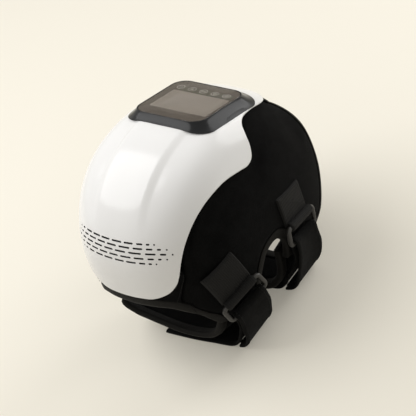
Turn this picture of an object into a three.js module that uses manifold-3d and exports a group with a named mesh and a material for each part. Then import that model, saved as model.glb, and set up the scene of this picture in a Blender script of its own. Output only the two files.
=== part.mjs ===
// Heated knee massager: a glossy domed shell with a display on its crown sits on a cradle that holds the
// electronics, and black padded wings, flaps and straps wrap the leg behind it.
// Millimetres, +Z up. The calf end faces -Y, the thigh end +Y, and the straps fasten on the +X side.
// Every layer follows one skin: a profile turned about the notch axis, which runs along X behind the knee.

import * as THREE from 'three';
import { mergeVertices } from 'three/addons/utils/BufferGeometryUtils.js';
import Module from 'manifold-3d';

const wasm = await Module();
wasm.setup();

// Skin: overall size and shape
const crownRadius = 140;        // notch axis to the crown
const halfWidth = 80;           // centre plane to the widest place of the side
const axisY = 98;               // notch axis behind the shell's front lip
const axisZ = 60;               // notch axis above the straps' undersides
// Angle about the notch axis in degrees, from +Y over the crown, with the share of crownRadius
const crownShares = [[-60, 0.9], [-25, 0.971], [0, 1.014], [22, 1.032], [35, 1.037], [46, 1.024], [53, 1.016],
  [62, 1.001], [73, 0.988], [85.3, 0.989], [98, 0.992], [110, 0.985], [122, 0.956], [134, 0.911], [142, 0.861],
  [152, 0.791], [160, 0.746], [180, 0.686], [205, 0.671], [235, 0.7], [265, 0.821]];
// The same angle with the share of halfWidth
const widthShares = [[-60, 0.95], [-20, 0.963], [20, 0.988], [50, 1], [95, 1.006], [130, 1.006], [160, 0.981],
  [190, 0.95], [215, 0.925], [240, 0.913], [270, 0.925]];
// The same angle with the exponent of the cross-section: 2 is an ellipse, more is boxier
const squareness = [[-60, 2.4], [0, 2.5], [30, 2.8], [55, 3.3], [95, 3.3], [115, 3], [135, 2.6], [160, 2.5],
  [200, 2.4], [250, 2.4]];

// Fits
const gap = 0.3;                // between pieces that touch
const overrun = 4;              // past a face, for cuts

// Shell
const shellWall = 2.4;
const shellRows = 34;
// Angle with the half-width of the shell there, as a share of halfWidth: front lip, S-curved side, neck, back
const shellEdgeShares = [[159.3, 0.3], [158.4, 0.4], [155.1, 0.506], [150.1, 0.604], [145.5, 0.649], [130.6, 0.724],
  [114.9, 0.795], [103.6, 0.84], [92.9, 0.866], [82, 0.888], [76.2, 0.888], [73, 0.868], [71.3, 0.81], [70, 0.74],
  [68.4, 0.69], [65.6, 0.628], [58.2, 0.583], [50.2, 0.545], [45, 0.475], [42.4, 0.37], [41.4, 0.22]];
const columnShares = [0, 0.18, 0.31, 0.38, 0.45, 0.58, 0.74, 0.89, 1];
const creaseX = 25.5;           // soft crease from the display's front corner down to the vents
const creaseDepth = 1.6;
const creaseRise = 2.6;         // half the width of the step
const creaseFade = 24;          // over which the step comes back to the skin
const creaseShares = [[78, 0], [90, 1], [110, 1], [122, 0.45], [130, 0]];

// Vents in the front wall
const ventRows = 5;
const ventWidth = 1.3;
const ventGap = 3.9;
const ventTopAngle = 134;
const ventRowStep = 1.95;       // degrees
const ventBow = 3.1;            // degrees that a row rises at ventBowX
const ventBowX = 50;
const ventEnds = 2;             // facets of a slot's round end
// Slot lengths from the centre outwards, for rows that have a slot or a gap in the centre
const dashUnit = 10;
const ventLengthShares = {
  outer: [1, 0.89, 0.57, 0.31, 0.15],
  inner: [1.22, 0.96, 0.65, 0.42, 0.15],
  middle: [1.17, 1.24, 1.03, 0.64, 0.15],
};
const screenWall = 0.8;         // dust screen behind the vents
const screenHalf = 0.5125 * halfWidth;
const screenMargin = 1.6;       // degrees past the top and bottom rows

// Display
const glassTilt = 18.7;         // degrees, falling towards the thigh
const glassAngle = 69.1;        // about the notch axis, at the glass's centre
const glassRise = 0.7;          // its face above the skin there
const glassWidth = 71.1;
const glassLength = 68.1;
const glassRadius = 12;
const glassWall = 1.6;
const rimWall = 0.9;            // bezel's top edge round the glass
const skirtFlareSide = 7;       // how far the bezel's foot stands out past its top edge
const skirtFlareEnd = 6;
const skirtDrop = 6.6;          // top edge to the foot in the centre of the front edge
const skirtBackShift = 1.9;      // the foot lies further back than the glass
const skirtShares = [[0, 0], [0.16, 0.05], [0.45, 0.2], [0.72, 0.48], [0.9, 0.78], [1, 1]]; // drop, flare
const lcdWidth = 57.5;
const lcdFront = -16.2;         // from the glass's centre, along it
const lcdBack = 16.1;
const lcdMargin = 1.6;          // module round its visible area
const lcdWall = 3.4;
const keyCount = 5;
const keyPitch = 12.4;
const keyRowAt = 22.8;
const keyPadRadius = 4;
const keyPadWall = 0.6;
const keyBoardLength = 11;
const keyBoardWall = 1;
const shellOpeningWidth = 72;
const shellOpeningLength = 63;
const shellOpeningShift = 3.5;  // towards the thigh
const shellOpeningRadius = 6;

// Cradle, padding and heater under the knee
const wellDepth = 24;           // cradle below the skin over the knee
const cradleEdge = 3;           // cradle below the skin at its rim
const cradleWall = 2;
const liningEdge = 10.8;         // lining below the skin at the seams
const liningWall = 6;
const bladderWall = 4;
const heaterWall = 0.6;
const padHalfSweep = 0.24;      // share of the sweep that the bladder and the film reach
const bladderAngles = [68, 136];
const heaterAngles = [66, 138];
const wellFront = [161, 141];   // degrees, rim and floor of the well at the calf end
const wellBack = [41, 50];
const wellSide = [0.93, 0.72];   // share of the sweep, rim and floor

// Inside
const boardWidth = 0.675 * halfWidth;
const boardLength = 40;
const boardShift = 8;           // towards the calf from the glass's centre
const boardWall = 1.6;
const boardDrop = 19;           // glass's top to the board's top
const postRadius = 3;
const postInset = 5;
const batteryWidth = 0.625 * halfWidth;
const batteryLength = 38;
const batteryHeight = 9;
const batteryRadius = 3;
const batteryAngle = 99.5;
const motorRadius = 6;
const motorLength = 17;
const motorAngle = 116;
const motorX = 0.2375 * halfWidth;
const weightRadius = 4.6;
const weightLength = 5;
const motorShaftRadius = 1;
const motorShaftLength = 7;
const pumpRadius = 0.3125 * wellDepth;
const pumpLength = 0.375 * halfWidth;
const pumpAngle = 132;
const pumpX = -0.175 * halfWidth;
const valveRadius = 5;
const valveLength = 14;
const valveX = 0.25 * halfWidth;
const hoseRadius = 2.2;
const hoseBore = 1.2;
const socketAngle = 46.5;       // behind the display
const socketX = -18;
const socketWidth = 10;
const socketHeight = 4;
const socketDepth = 7;
const socketWall = 1;
const screwHeadRadius = 3;
const screwHeadHeight = 2;
const screwRadius = 1.5;
const screwClearance = 0.2;
const bossRadius = 4;
const screwX = 0.25 * halfWidth;
const screwAngles = [86.5, 122.5];

// Wings
const wingWall = 6;
const wingRows = 32;
const wingTuck = 3.5;           // below the skin where the shell covers it
const wingProud = 0.6;          // below the skin away from the shell
// Angle with the share of the sweep at the edge of the arched notch behind the knee
const notchShares = [[-32, 0.89], [8, 0.897], [56, 0.878], [103, 0.892], [139, 0.903], [197, 0.874], [222, 0.87]];
const thighNotchAngle = -32;
const thighCornerAngle = -12.5;
const calfCornerAngle = 194;
const calfNotchAngle = 222;
const tapeWidth = 8;            // folded tape that binds each fabric edge
const tapeProud = 0.7;
// Angle with the share of the sweep at a wing's outer edge: thigh corner and edge, seam under the shell, calf edge
const nearEdgeShares = [[-12.5, 0.555], [-9, 0.533], [-3, 0.51], [10, 0.455], [25, 0.375], [38, 0.27], [50, 0.27],
  [64, 0.32], [73, 0.43], [90, 0.45], [110, 0.45], [130, 0.425], [146, 0.395], [158, 0.36], [165, 0.365],
  [171, 0.44], [179, 0.485], [187, 0.515], [191.5, 0.54], [194, 0.56]];
const farEdgeShares = [[-12.5, 0.61], [-9, 0.54], [-3, 0.512], ...nearEdgeShares.slice(3, -3), [187, 0.515], [194, 0.535]];
const seamAngles = [39, 160.6]; // where the tape starts, just past the shell's back and front edges
const lipAngles = [[0, 164.3], [0.2, 163.6], [0.35, 164.6]]; // share of the sweep with the front band's lower edge
const backLipAngle = 36.6;
const lipTuck = 2;              // outer side of the lip bands below the skin
const frontLipHalf = 0.345;     // share of the sweep
const backLipHalf = 0.262;

// Flaps that run on from the far wing, under the leg and up inside the near wing
// Front and rear edge of each flap's middle surface after the far wing, as shares of halfWidth in x, y and z
const calfFlapFrontShares = [[-0.68, 0.435, 0.44], [-0.575, 0.455, 0.31], [-0.42, 0.47, 0.25],
  [-0.18, 0.475, 0.188], [0.03, 0.475, 0.155], [0.3, 0.475, 0.185], [0.47, 0.475, 0.26], [0.575, 0.49, 0.4],
  [0.61, 0.53, 0.56], [0.625, 0.56, 0.72]];
const calfFlapRearShares = [[-0.87, 1.045, 0.4], [-0.74, 1.05, 0.21], [-0.58, 1.055, 0.11],
  [-0.4, 1.06, 0.09], [-0.05, 1.06, 0.088], [0.3, 1.06, 0.095], [0.54, 1.06, 0.19], [0.68, 1.05, 0.36],
  [0.725, 1.03, 0.53], [0.74, 1.01, 0.68]];
const thighFlapFrontShares = [[-0.9, 1.455, 0.38], [-0.8, 1.43, 0.2], [-0.6, 1.4, 0.1],
  [-0.42, 1.38, 0.088], [0, 1.38, 0.088], [0.44, 1.38, 0.09], [0.62, 1.4, 0.14], [0.73, 1.44, 0.27],
  [0.765, 1.48, 0.45], [0.775, 1.5, 0.64]];
const thighFlapRearShares = [[-0.8, 2.18, 0.38], [-0.72, 2.07, 0.2], [-0.57, 1.97, 0.1],
  [-0.42, 1.93, 0.088], [0, 1.92, 0.088], [0.44, 1.92, 0.09], [0.6, 1.93, 0.14], [0.69, 1.96, 0.27],
  [0.72, 1.98, 0.45], [0.73, 1.98, 0.64]];
const calfFlapCurl = 2.4;       // how much more steeply the front edge turns up than a straight slope
const thighFlapCurl = 1;

// Webbing tabs and rings
const webbingWall = 2.2;
const railRadius = 2.1;
const railClearance = 0.3;
const ringWindowWidth = 39;
const ringWindowHeight = 11.8;
const ringCornerRadius = 3.4;
const sleeveWall = 1.8;
const calfTabWidth = 33.5;
const calfTabLength = 38;
const thighTabWidth = 36.5;
const thighTabLength = 32;
// Centre of each patch in y and z as shares of halfWidth, its directions there, and its share that lies over the tape
const tabs = {
  calf: { centre: [0.5925, 1.1425], width: calfTabWidth, length: calfTabLength, down: [0.245, -0.97],
    rear: [0.957, 0.29], overTape: 0 },
  thigh: { centre: [1.79, 1.145], width: thighTabWidth, length: thighTabLength, down: [-0.035, -0.999],
    rear: [0.972, -0.235], overTape: 0.35 },
};

// Straps
const strapWall = 2.6;
const strapWidth = 41;
const strapWidthAtRing = 36;
const turnSpan = 190;           // degrees of the turn over the ring's lower rail
const turnSteps = 8;
const riserSteps = 8;
const hookWall = 0.8;
const hookMargin = 3;
// Middle of each strap's run from its sewn end to the foot of the bend, as shares of halfWidth
const calfRunShares = [[-0.42, 0.76, 0.01625], [-0.2, 0.765, 0.01625], [0.1, 0.775, 0.01625], [0.35, 0.8, 0.01625],
  [0.575, 0.815, 0.01625], [0.637, 0.82, 0.024], [0.694, 0.825, 0.0525], [0.744, 0.825, 0.1025],
  [0.781, 0.825, 0.169]];
const thighRunShares = [[-0.5, 1.64, 0.01625], [-0.3, 1.65, 0.01625], [-0.1, 1.66, 0.01625], [0.1, 1.68, 0.01625],
  [0.3, 1.7, 0.01625], [0.6, 1.73, 0.01625], [0.662, 1.735, 0.024], [0.719, 1.74, 0.0525], [0.769, 1.745, 0.1025],
  [0.806, 1.75, 0.169]];
// Middle of the rise from there to the ring
const calfRiserShares = [[0.84, 0.81, 0.3], [0.91, 0.765, 0.46]];
const thighRiserShares = [[0.89, 1.76, 0.3], [0.97, 1.765, 0.46]];
// Middle of each tail from the ring down to its hook end
const calfTailShares = [[1.02, 0.72, 0.52], [1.045, 0.765, 0.34], [0.99, 0.805, 0.16], [0.9, 0.82, 0.07],
  [0.82, 0.823, 0.045], [0.745, 0.825, 0.034]];
const thighTailShares = [[1.07, 1.76, 0.52], [1.055, 1.76, 0.34], [0.99, 1.755, 0.17], [0.905, 1.748, 0.075],
  [0.835, 1.742, 0.045], [0.77, 1.74, 0.034]];

// Finishes
const finish = (color, roughness, metalness = 0) => new THREE.MeshStandardMaterial({ color, roughness, metalness });
const finishes = {
  shell: finish(0xf3f2f2, 0.18),
  bezel: finish(0x23262b, 0.22),
  glass: finish(0x5c524b, 0.08),
  lcd: finish(0x877f76, 0.25),
  board: finish(0x1f5b3a, 0.5),
  cradle: finish(0x1a1a1c, 0.5),
  battery: finish(0x3f6f9c, 0.45),
  steel: finish(0xa9abb0, 0.3, 0.9),
  pump: finish(0x2a2c30, 0.45),
  heater: finish(0xb06a2c, 0.5, 0.2),
  bladder: finish(0x6b6f75, 0.6),
  plush: finish(0x121212, 0.95),
  tape: finish(0x24221f, 0.8),
  webbing: finish(0x1b1b1b, 0.85),
  ring: finish(0x35322f, 0.5),
  strap: finish(0x151514, 0.92),
  hook: finish(0x1d1d1d, 0.9),
};

// Numbers
const degrees = Math.PI / 180;
const mix = THREE.MathUtils.lerp;
const smooth = THREE.MathUtils.smoothstep;
const vector = (x, y, z) => new THREE.Vector3(x, y, z);

// Smooth curve through a table of [place, value] by Hermite pieces whose slopes average their neighbours'
function along(table, place) {
  const last = table.length - 1;
  if (place <= table[0][0]) return table[0][1];
  if (place >= table[last][0]) return table[last][1];
  let k = 0;
  while (table[k + 1][0] < place) k += 1;
  const slope = (a, b) => (table[b][1] - table[a][1]) / (table[b][0] - table[a][0]);
  const here = slope(k, k + 1);
  const before = k > 0 ? (slope(k - 1, k) + here) / 2 : here;
  const after = k + 1 < last ? (here + slope(k + 1, k + 2)) / 2 : here;
  const span = table[k + 1][0] - table[k][0];
  const t = (place - table[k][0]) / span;
  const a = table[k][1];
  const b = table[k + 1][1];
  return a + t * t * (3 - 2 * t) * (b - a) + t * (1 - t) * ((1 - t) * before - t * after) * span;
}

// The same for a table that closes on itself after a full turn
function around(table, angle) {
  const turn = 360;
  const shifted = (shift) => table.map(([place, value]) => [place + shift, value]);
  const first = table[0][0];
  const wrapped = THREE.MathUtils.euclideanModulo(angle - first, turn) + first;
  return along([...shifted(-turn).slice(-2), ...table, ...shifted(turn).slice(0, 2)], wrapped);
}

// Value where a rising function reaches a target, by halving
function solve(rising, target, low, high) {
  for (let k = 0; k < 40; k += 1) {
    const middle = (low + high) / 2;
    if (rising(middle) < target) low = middle;
    else high = middle;
  }
  return (low + high) / 2;
}

// Skin point: angle about the notch axis in degrees, sweep from -1 to 1 across, depth below the surface
function skin(angle, sweep, depth = 0) {
  const bend = Math.abs(sweep) * Math.PI / 2;
  const power = around(squareness, angle);
  const reach = (Math.sin(bend) ** power + Math.cos(bend) ** power) ** (-1 / power);
  const across = (halfWidth * around(widthShares, angle) - depth) * reach * Math.sin(bend);
  const out = (crownRadius * around(crownShares, angle) - depth) * reach * Math.cos(bend);
  return vector(Math.sign(sweep) * across,
    axisY + out * Math.cos(angle * degrees), axisZ + out * Math.sin(angle * degrees));
}

const sweepAtX = (angle, x, depth = 0) => Math.sign(x) * solve((f) => skin(angle, f, depth).x, Math.abs(x), 0, 1);

// Skin point on the near side, straight out from a place in the centre plane
function skinBeside(y, z, depth = 0) {
  const angle = Math.atan2(z - axisZ, y - axisY) / degrees;
  const distance = Math.hypot(z - axisZ, y - axisY);
  const closeness = (f) => {
    const p = skin(angle, f, depth);
    return -Math.hypot(p.y - axisY, p.z - axisZ);
  };
  return skin(angle, solve(closeness, -distance, 0, 1), depth);
}

// Frame on the skin: across along +X, forward towards the calf end, up off the skin
function skinFrame(angle, x, depth = 0) {
  const sweep = sweepAtX(angle, x, depth);
  const origin = skin(angle, sweep, depth);
  const step = 0.5;
  const forward = skin(angle + step, sweep, depth).sub(skin(angle - step, sweep, depth)).normalize();
  const side = skin(angle, sweep + step * degrees, depth).sub(skin(angle, sweep - step * degrees, depth));
  const up = forward.clone().cross(side).normalize();
  const across = up.clone().cross(forward).normalize();
  return { origin, across, forward, up };
}

// Point in a frame
function at(frame, a, b, c = 0) {
  return frame.origin.clone().addScaledVector(frame.across, a).addScaledVector(frame.forward, b)
    .addScaledVector(frame.up, c);
}

// Closed geometry from points and faces, turned so that the faces point out
function closed(points, faces) {
  let volume = 0;
  const cross = new THREE.Vector3();
  for (const [a, b, c] of faces) volume += points[a].dot(cross.crossVectors(points[b], points[c]));
  const geometry = new THREE.BufferGeometry();
  geometry.setAttribute('position', new THREE.Float32BufferAttribute(points.flatMap((p) => p.toArray()), 3));
  geometry.setIndex(faces.flatMap(([a, b, c]) => (volume > 0 ? [a, b, c] : [a, c, b])));
  return geometry;
}

// Sheet solid: place(u, v, side) gives the point on side 0 or 1, for u and v from 0 to 1
function sheet(rows, columns, place) {
  const points = [];
  const faces = [];
  const index = (i, j, side) => (side * (rows + 1) + i) * (columns + 1) + j;
  const quad = (a, b, c, d) => faces.push([a, b, c], [a, c, d]);
  for (let side = 0; side < 2; side += 1) {
    for (let i = 0; i <= rows; i += 1) {
      for (let j = 0; j <= columns; j += 1) points.push(place(i / rows, j / columns, side));
    }
  }
  for (let i = 0; i < rows; i += 1) {
    for (let j = 0; j < columns; j += 1) {
      quad(index(i, j, 0), index(i + 1, j, 0), index(i + 1, j + 1, 0), index(i, j + 1, 0));
      quad(index(i, j, 1), index(i, j + 1, 1), index(i + 1, j + 1, 1), index(i + 1, j, 1));
    }
    quad(index(i, 0, 0), index(i, 0, 1), index(i + 1, 0, 1), index(i + 1, 0, 0));
    quad(index(i, columns, 0), index(i + 1, columns, 0), index(i + 1, columns, 1), index(i, columns, 1));
  }
  for (let j = 0; j < columns; j += 1) {
    quad(index(0, j, 0), index(0, j + 1, 0), index(0, j + 1, 1), index(0, j, 1));
    quad(index(rows, j, 0), index(rows, j, 1), index(rows, j + 1, 1), index(rows, j + 1, 0));
  }
  return closed(points, faces);
}

// Lofted solid through rings of points, capped at its ends or joined into a loop
function loft(rings, looped = false) {
  const count = rings[0].length;
  const points = rings.flat();
  const faces = [];
  const spans = looped ? rings.length : rings.length - 1;
  for (let i = 0; i < spans; i += 1) {
    const a = i * count;
    const b = ((i + 1) % rings.length) * count;
    for (let j = 0; j < count; j += 1) {
      const k = (j + 1) % count;
      faces.push([a + j, b + j, b + k], [a + j, b + k, a + k]);
    }
  }
  if (!looped) {
    const end = (rings.length - 1) * count;
    for (let j = 1; j < count - 1; j += 1) {
      faces.push([0, j, j + 1], [end, end + j + 1, end + j]);
    }
  }
  return closed(points, faces);
}

// Rounded rectangle as [a, b] places, counter-clockwise
function roundedRectangle(width, length, radius, facets, middle = 0) {
  const places = [];
  for (let corner = 0; corner < 4; corner += 1) {
    const right = corner === 0 || corner === 3 ? 1 : -1;
    const top = corner < 2 ? 1 : -1;
    for (let k = 0; k <= facets; k += 1) {
      const turn = (corner + k / facets) * Math.PI / 2;
      places.push([right * (width / 2 - radius) + radius * Math.cos(turn),
        middle + top * (length / 2 - radius) + radius * Math.sin(turn)]);
    }
  }
  return places;
}

function circle(radius, facets, a = 0, b = 0) {
  return Array.from({ length: facets }, (_, k) => {
    const turn = 2 * Math.PI * (k + 0.5) / facets;
    return [a + radius * Math.cos(turn), b + radius * Math.sin(turn)];
  });
}

// Straight prism of a flat outline between two heights in a frame
const prism = (frame, outline, low, high) => loft([low, high].map((c) => outline.map(([a, b]) => at(frame, a, b, c))));

// Solid of revolution about a line: profile gives [along, radius] places
function turned(origin, direction, profile, facets) {
  const side = vector(0, 0, 1).cross(direction);
  if (side.lengthSq() < 0.01) side.set(1, 0, 0);
  side.normalize();
  const other = direction.clone().cross(side);
  const rings = profile.map(([distance, radius]) => circle(radius, facets).map(([a, b]) => origin.clone()
    .addScaledVector(direction, distance).addScaledVector(side, a).addScaledVector(other, b)));
  return loft(rings);
}

// Booleans
function solid(geometry) {
  const merged = mergeVertices(geometry.clone(), gap / 1000);
  const mesh = new wasm.Mesh({
    numProp: 3,
    vertProperties: new Float32Array(merged.attributes.position.array),
    triVerts: new Uint32Array(merged.index.array),
  });
  mesh.merge();
  return new wasm.Manifold(mesh);
}

function surface(manifold) {
  const mesh = manifold.getMesh();
  const geometry = new THREE.BufferGeometry();
  geometry.setAttribute('position', new THREE.Float32BufferAttribute(mesh.vertProperties, 3));
  geometry.setIndex([...mesh.triVerts]);
  return geometry;
}

const cut = (body, tools) => surface(tools.reduce((left, tool) => left.subtract(solid(tool)), solid(body)));
const common = (a, b) => surface(solid(a).intersect(solid(b)));
const joined = (bodies) => surface(bodies.slice(1).reduce((sum, body) => sum.add(solid(body)), solid(bodies[0])));

// Depth of the crease's step on the shell
function crease(angle, x) {
  const step = smooth(Math.abs(x), creaseX - creaseRise, creaseX + creaseRise);
  const fade = 1 - smooth(Math.abs(x), creaseX + creaseRise, creaseX + creaseRise + creaseFade);
  return creaseDepth * along(creaseShares, angle) * step * fade;
}

// Rows of the shell, spaced evenly along its edge
const shellEdge = new THREE.CatmullRomCurve3(
  shellEdgeShares.map(([angle, share]) => vector(angle * degrees * crownRadius, share * halfWidth, 0)),
  false, 'centripetal').getSpacedPoints(shellRows).map((p) => {
  const angle = p.x / degrees / crownRadius;
  return { angle, sweep: sweepAtX(angle, p.y) };
});

const displayFrame = {
  origin: skin(glassAngle, 0, -glassRise),
  across: vector(1, 0, 0),
  forward: vector(0, -Math.cos(glassTilt * degrees), Math.sin(glassTilt * degrees)),
  up: vector(0, Math.sin(glassTilt * degrees), Math.cos(glassTilt * degrees)),
};

function shellBlank() {
  const columns = [...columnShares.slice(1).reverse().map((share) => -share), ...columnShares];
  return sheet(shellRows, columns.length - 1, (u, v, side) => {
    const { angle, sweep } = shellEdge[Math.round(u * shellRows)];
    const f = columns[Math.round(v * (columns.length - 1))] * sweep;
    return skin(angle, f, side * shellWall + crease(angle, skin(angle, f).x));
  });
}

// One round-ended slot as a cutter, standing on the skin
function slot(angle, x, length) {
  const centre = angle - ventBow * (x / ventBowX) ** 2;
  const frame = skinFrame(centre, x);
  const slope = 2 * ventBow * degrees * crownRadius * x / ventBowX ** 2;
  frame.across.addScaledVector(frame.forward, -slope).normalize();
  frame.forward.copy(frame.up).cross(frame.across).normalize();
  const radius = ventWidth / 2;
  const outline = [];
  for (const end of [1, -1]) {
    for (let k = 0; k <= ventEnds; k += 1) {
      const turn = (k / ventEnds - 0.5) * Math.PI;
      outline.push([end * ((length / 2 - radius) + radius * Math.cos(turn)), end * radius * Math.sin(turn)]);
    }
  }
  return prism(frame, outline, -shellWall - overrun / 2, overrun / 2);
}

function ventSlots() {
  const slots = [];
  for (let row = 0; row < ventRows; row += 1) {
    const angle = ventTopAngle + row * ventRowStep;
    const fromMiddle = Math.abs(row - (ventRows - 1) / 2);
    const centred = fromMiddle % 2 === 0;
    const kind = fromMiddle === 0 ? 'middle' : centred ? 'outer' : 'inner';
    const lengths = ventLengthShares[kind].map((share) => share * dashUnit);
    let edge = centred ? -lengths[0] / 2 : ventGap / 2;
    lengths.forEach((length, k) => {
      const x = edge + length / 2;
      slots.push(slot(angle, x, length));
      if (!centred || k > 0) slots.push(slot(angle, -x, length));
      edge += length + ventGap;
    });
  }
  return slots;
}

const displayOpening = (spare) => prism(displayFrame,
  roundedRectangle(shellOpeningWidth - 2 * spare, shellOpeningLength - 2 * spare, shellOpeningRadius, 3,
    -shellOpeningShift), -wellDepth, overrun);

const socketFrame = skinFrame(socketAngle, socketX);
const socketOutline = (spare) => roundedRectangle(socketWidth + spare, socketHeight + spare,
  (socketHeight + spare) / 2 - gap / 10, 3);

// Frames square to the cradle's underside where the screws go in
const screwFrames = screwAngles.flatMap((angle) => [1, -1].map((side) => skinFrame(angle, side * screwX,
  wellDepth + cradleWall)));

function outerShell() {
  const shape = (radius, low, high) => screwFrames.map(({ origin, up }) => turned(origin, up,
    [[low, radius], [high, radius]], 10));
  const bosses = shape(bossRadius, cradleWall + 2 * gap, wellDepth + overrun);
  const inside = sheet(8, 8, (u, v, side) => {
    const angle = mix(78, 134, u);
    const sweep = mix(-0.4, 0.4, v);
    return skin(angle, sweep, side === 0 ? shellWall / 2 + crease(angle, skin(angle, sweep).x) : wellDepth + overrun);
  });
  const body = joined([shellBlank(), ...bosses.map((boss) => common(boss, inside))]);
  return cut(body, [...ventSlots(), displayOpening(0), prism(socketFrame, socketOutline(0), -overrun, overrun),
    ...shape(screwRadius + screwClearance, 0, wellDepth * 0.6)]);
}

// Bezel: a flared skirt round the glass, cut to the shell below
function displayBezel() {
  const facets = 5;
  const drop = skirtDrop * 1.9;
  const rings = skirtShares.map(([down, out]) => roundedRectangle(
    glassWidth + 2 * (rimWall + gap + skirtFlareSide * out), glassLength + 2 * (rimWall + gap + skirtFlareEnd * out),
    glassRadius + rimWall + skirtFlareEnd / 4 * out, facets, -skirtBackShift * out)
    .map(([a, b]) => at(displayFrame, a, b, -skirtDrop * down)));
  const foot = rings[rings.length - 1].map((p) => p.clone().addScaledVector(displayFrame.up, skirtDrop - drop));
  const body = loft([foot, ...rings.slice().reverse()]);
  const recess = prism(displayFrame, roundedRectangle(glassWidth + 2 * gap, glassLength + 2 * gap,
    glassRadius + gap, facets), -glassWall - gap, overrun);
  const windowFront = lcdFront - lcdMargin - gap;
  const windowBack = keyRowAt + keyBoardLength / 2 + gap;
  const window = prism(displayFrame, roundedRectangle(lcdWidth + 2 * (lcdMargin + gap), windowBack - windowFront,
    gap, 1, -(windowBack + windowFront) / 2), -drop - overrun, overrun);
  const under = (top) => sheet(14, 12, (u, v, side) => skin(mix(34, 100, u), mix(-0.5, 0.5, v),
    side === 0 ? top : shellWall * 10));
  return cut(body, [recess, window, cut(under(-1.5 * gap), [displayOpening(gap)]), under(shellWall)]);
}

function displayGlass() {
  return prism(displayFrame, roundedRectangle(glassWidth, glassLength, glassRadius, 6), -glassWall, 0);
}

function lcdModule() {
  const width = lcdWidth + 2 * lcdMargin;
  const length = lcdBack - lcdFront + 2 * lcdMargin;
  return prism(displayFrame, roundedRectangle(width, length, lcdMargin, 2, -(lcdBack + lcdFront) / 2),
    -glassWall - gap - lcdWall, -glassWall - gap);
}

// Touch-key board: a strip with one raised pad behind each key icon
function touchKeyBoard() {
  const top = -glassWall - gap - keyPadWall;
  const strip = prism(displayFrame, roundedRectangle(lcdWidth, keyBoardLength - 2 * gap, lcdMargin, 2, -keyRowAt - gap),
    top - keyBoardWall, top);
  const pads = Array.from({ length: keyCount }, (_, k) => prism(displayFrame,
    circle(keyPadRadius, 10, (k - (keyCount - 1) / 2) * keyPitch, -keyRowAt), top - keyBoardWall / 2, top + keyPadWall));
  return joined([strip, ...pads]);
}

// Share of the well's depth: 0 at the rim, 1 over the knee
function well(angle, sweep) {
  const front = smooth(-angle, -wellFront[0], -wellFront[1]);
  const back = smooth(angle, wellBack[0], wellBack[1]);
  const side = 1 - smooth(Math.abs(sweep) / along(nearEdgeShares, angle), wellSide[1], wellSide[0]);
  return front * back * side;
}

const cradleDepth = (angle, sweep) => mix(cradleEdge, wellDepth, well(angle, sweep));

function sweepStep(angle, sweep, distance) {
  const length = skin(angle, sweep + 0.01).distanceTo(skin(angle, sweep - 0.01));
  return 0.02 * distance / length;
}

const series = (from, to, count) => Array.from({ length: count + 1 }, (_, k) => mix(from, to, k / count));

function cradleBlank() {
  const front = shellEdge[0].angle + gap;
  const back = shellEdge[shellRows].angle - gap;
  const angles = [...series(back, wellBack[1], 4), ...series(wellBack[1], wellFront[1], 11).slice(1),
    ...series(wellFront[1], front, 5).slice(1)];
  const half = [...series(0, wellSide[1], 3), ...series(wellSide[1], wellSide[0], 3).slice(1), 1];
  const shares = [...half.slice(1).reverse().map((share) => -share), ...half];
  return sheet(angles.length - 1, shares.length - 1, (u, v, side) => {
    const angle = angles[Math.round(u * (angles.length - 1))];
    const edge = along(nearEdgeShares, angle);
    const sweep = shares[Math.round(v * (shares.length - 1))] * (edge - sweepStep(angle, edge, 5 * gap));
    return skin(angle, sweep, cradleDepth(angle, sweep) + side * cradleWall);
  });
}

const boardPosts = [[1, 1], [-1, 1], [-1, -1], [1, -1]].map(([a, b]) => [
  a * (boardWidth / 2 - postInset), boardShift + b * (boardLength / 2 - postInset)]);

function innerCradle() {
  const posts = boardPosts.map(([a, b]) => {
    const top = at(displayFrame, a, b, -boardDrop - boardWall - gap);
    const up = displayFrame.up;
    return turned(top, up, [[-wellDepth, postRadius], [0, postRadius]], 10);
  });
  const socketPost = prism(socketFrame, circle(postRadius, 10), -wellDepth,
    -shellWall - 2 * gap - socketDepth);
  const holes = screwFrames.map(({ origin, up }) => turned(origin, up,
    [[-overrun, screwRadius + screwClearance], [cradleWall + overrun, screwRadius + screwClearance]], 8));
  const above = sheet(24, 14, (u, v, side) => {
    const angle = mix(42.5, 150, u);
    const sweep = mix(-0.42, 0.42, v);
    return skin(angle, sweep, side === 0 ? shellWall + gap : cradleDepth(angle, sweep) + cradleWall / 2);
  });
  return cut(joined([cradleBlank(), ...[...posts, socketPost].map((post) => common(post, above))]), holes);
}

function mainBoard() {
  return prism(displayFrame, roundedRectangle(boardWidth, boardLength, postRadius, 2, boardShift), -boardDrop - boardWall, -boardDrop);
}

function batteryPack() {
  const frame = skinFrame(batteryAngle, 0, wellDepth);
  const rings = [[2 * gap, batteryRadius], [gap + batteryRadius, 0], [gap + batteryHeight - batteryRadius, 0],
    [gap + batteryHeight, batteryRadius]].map(([height, inset]) => roundedRectangle(batteryWidth - inset,
    batteryLength - inset, batteryRadius, 2).map(([a, b]) => at(frame, a, b, height)));
  return loft(rings);
}

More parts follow.
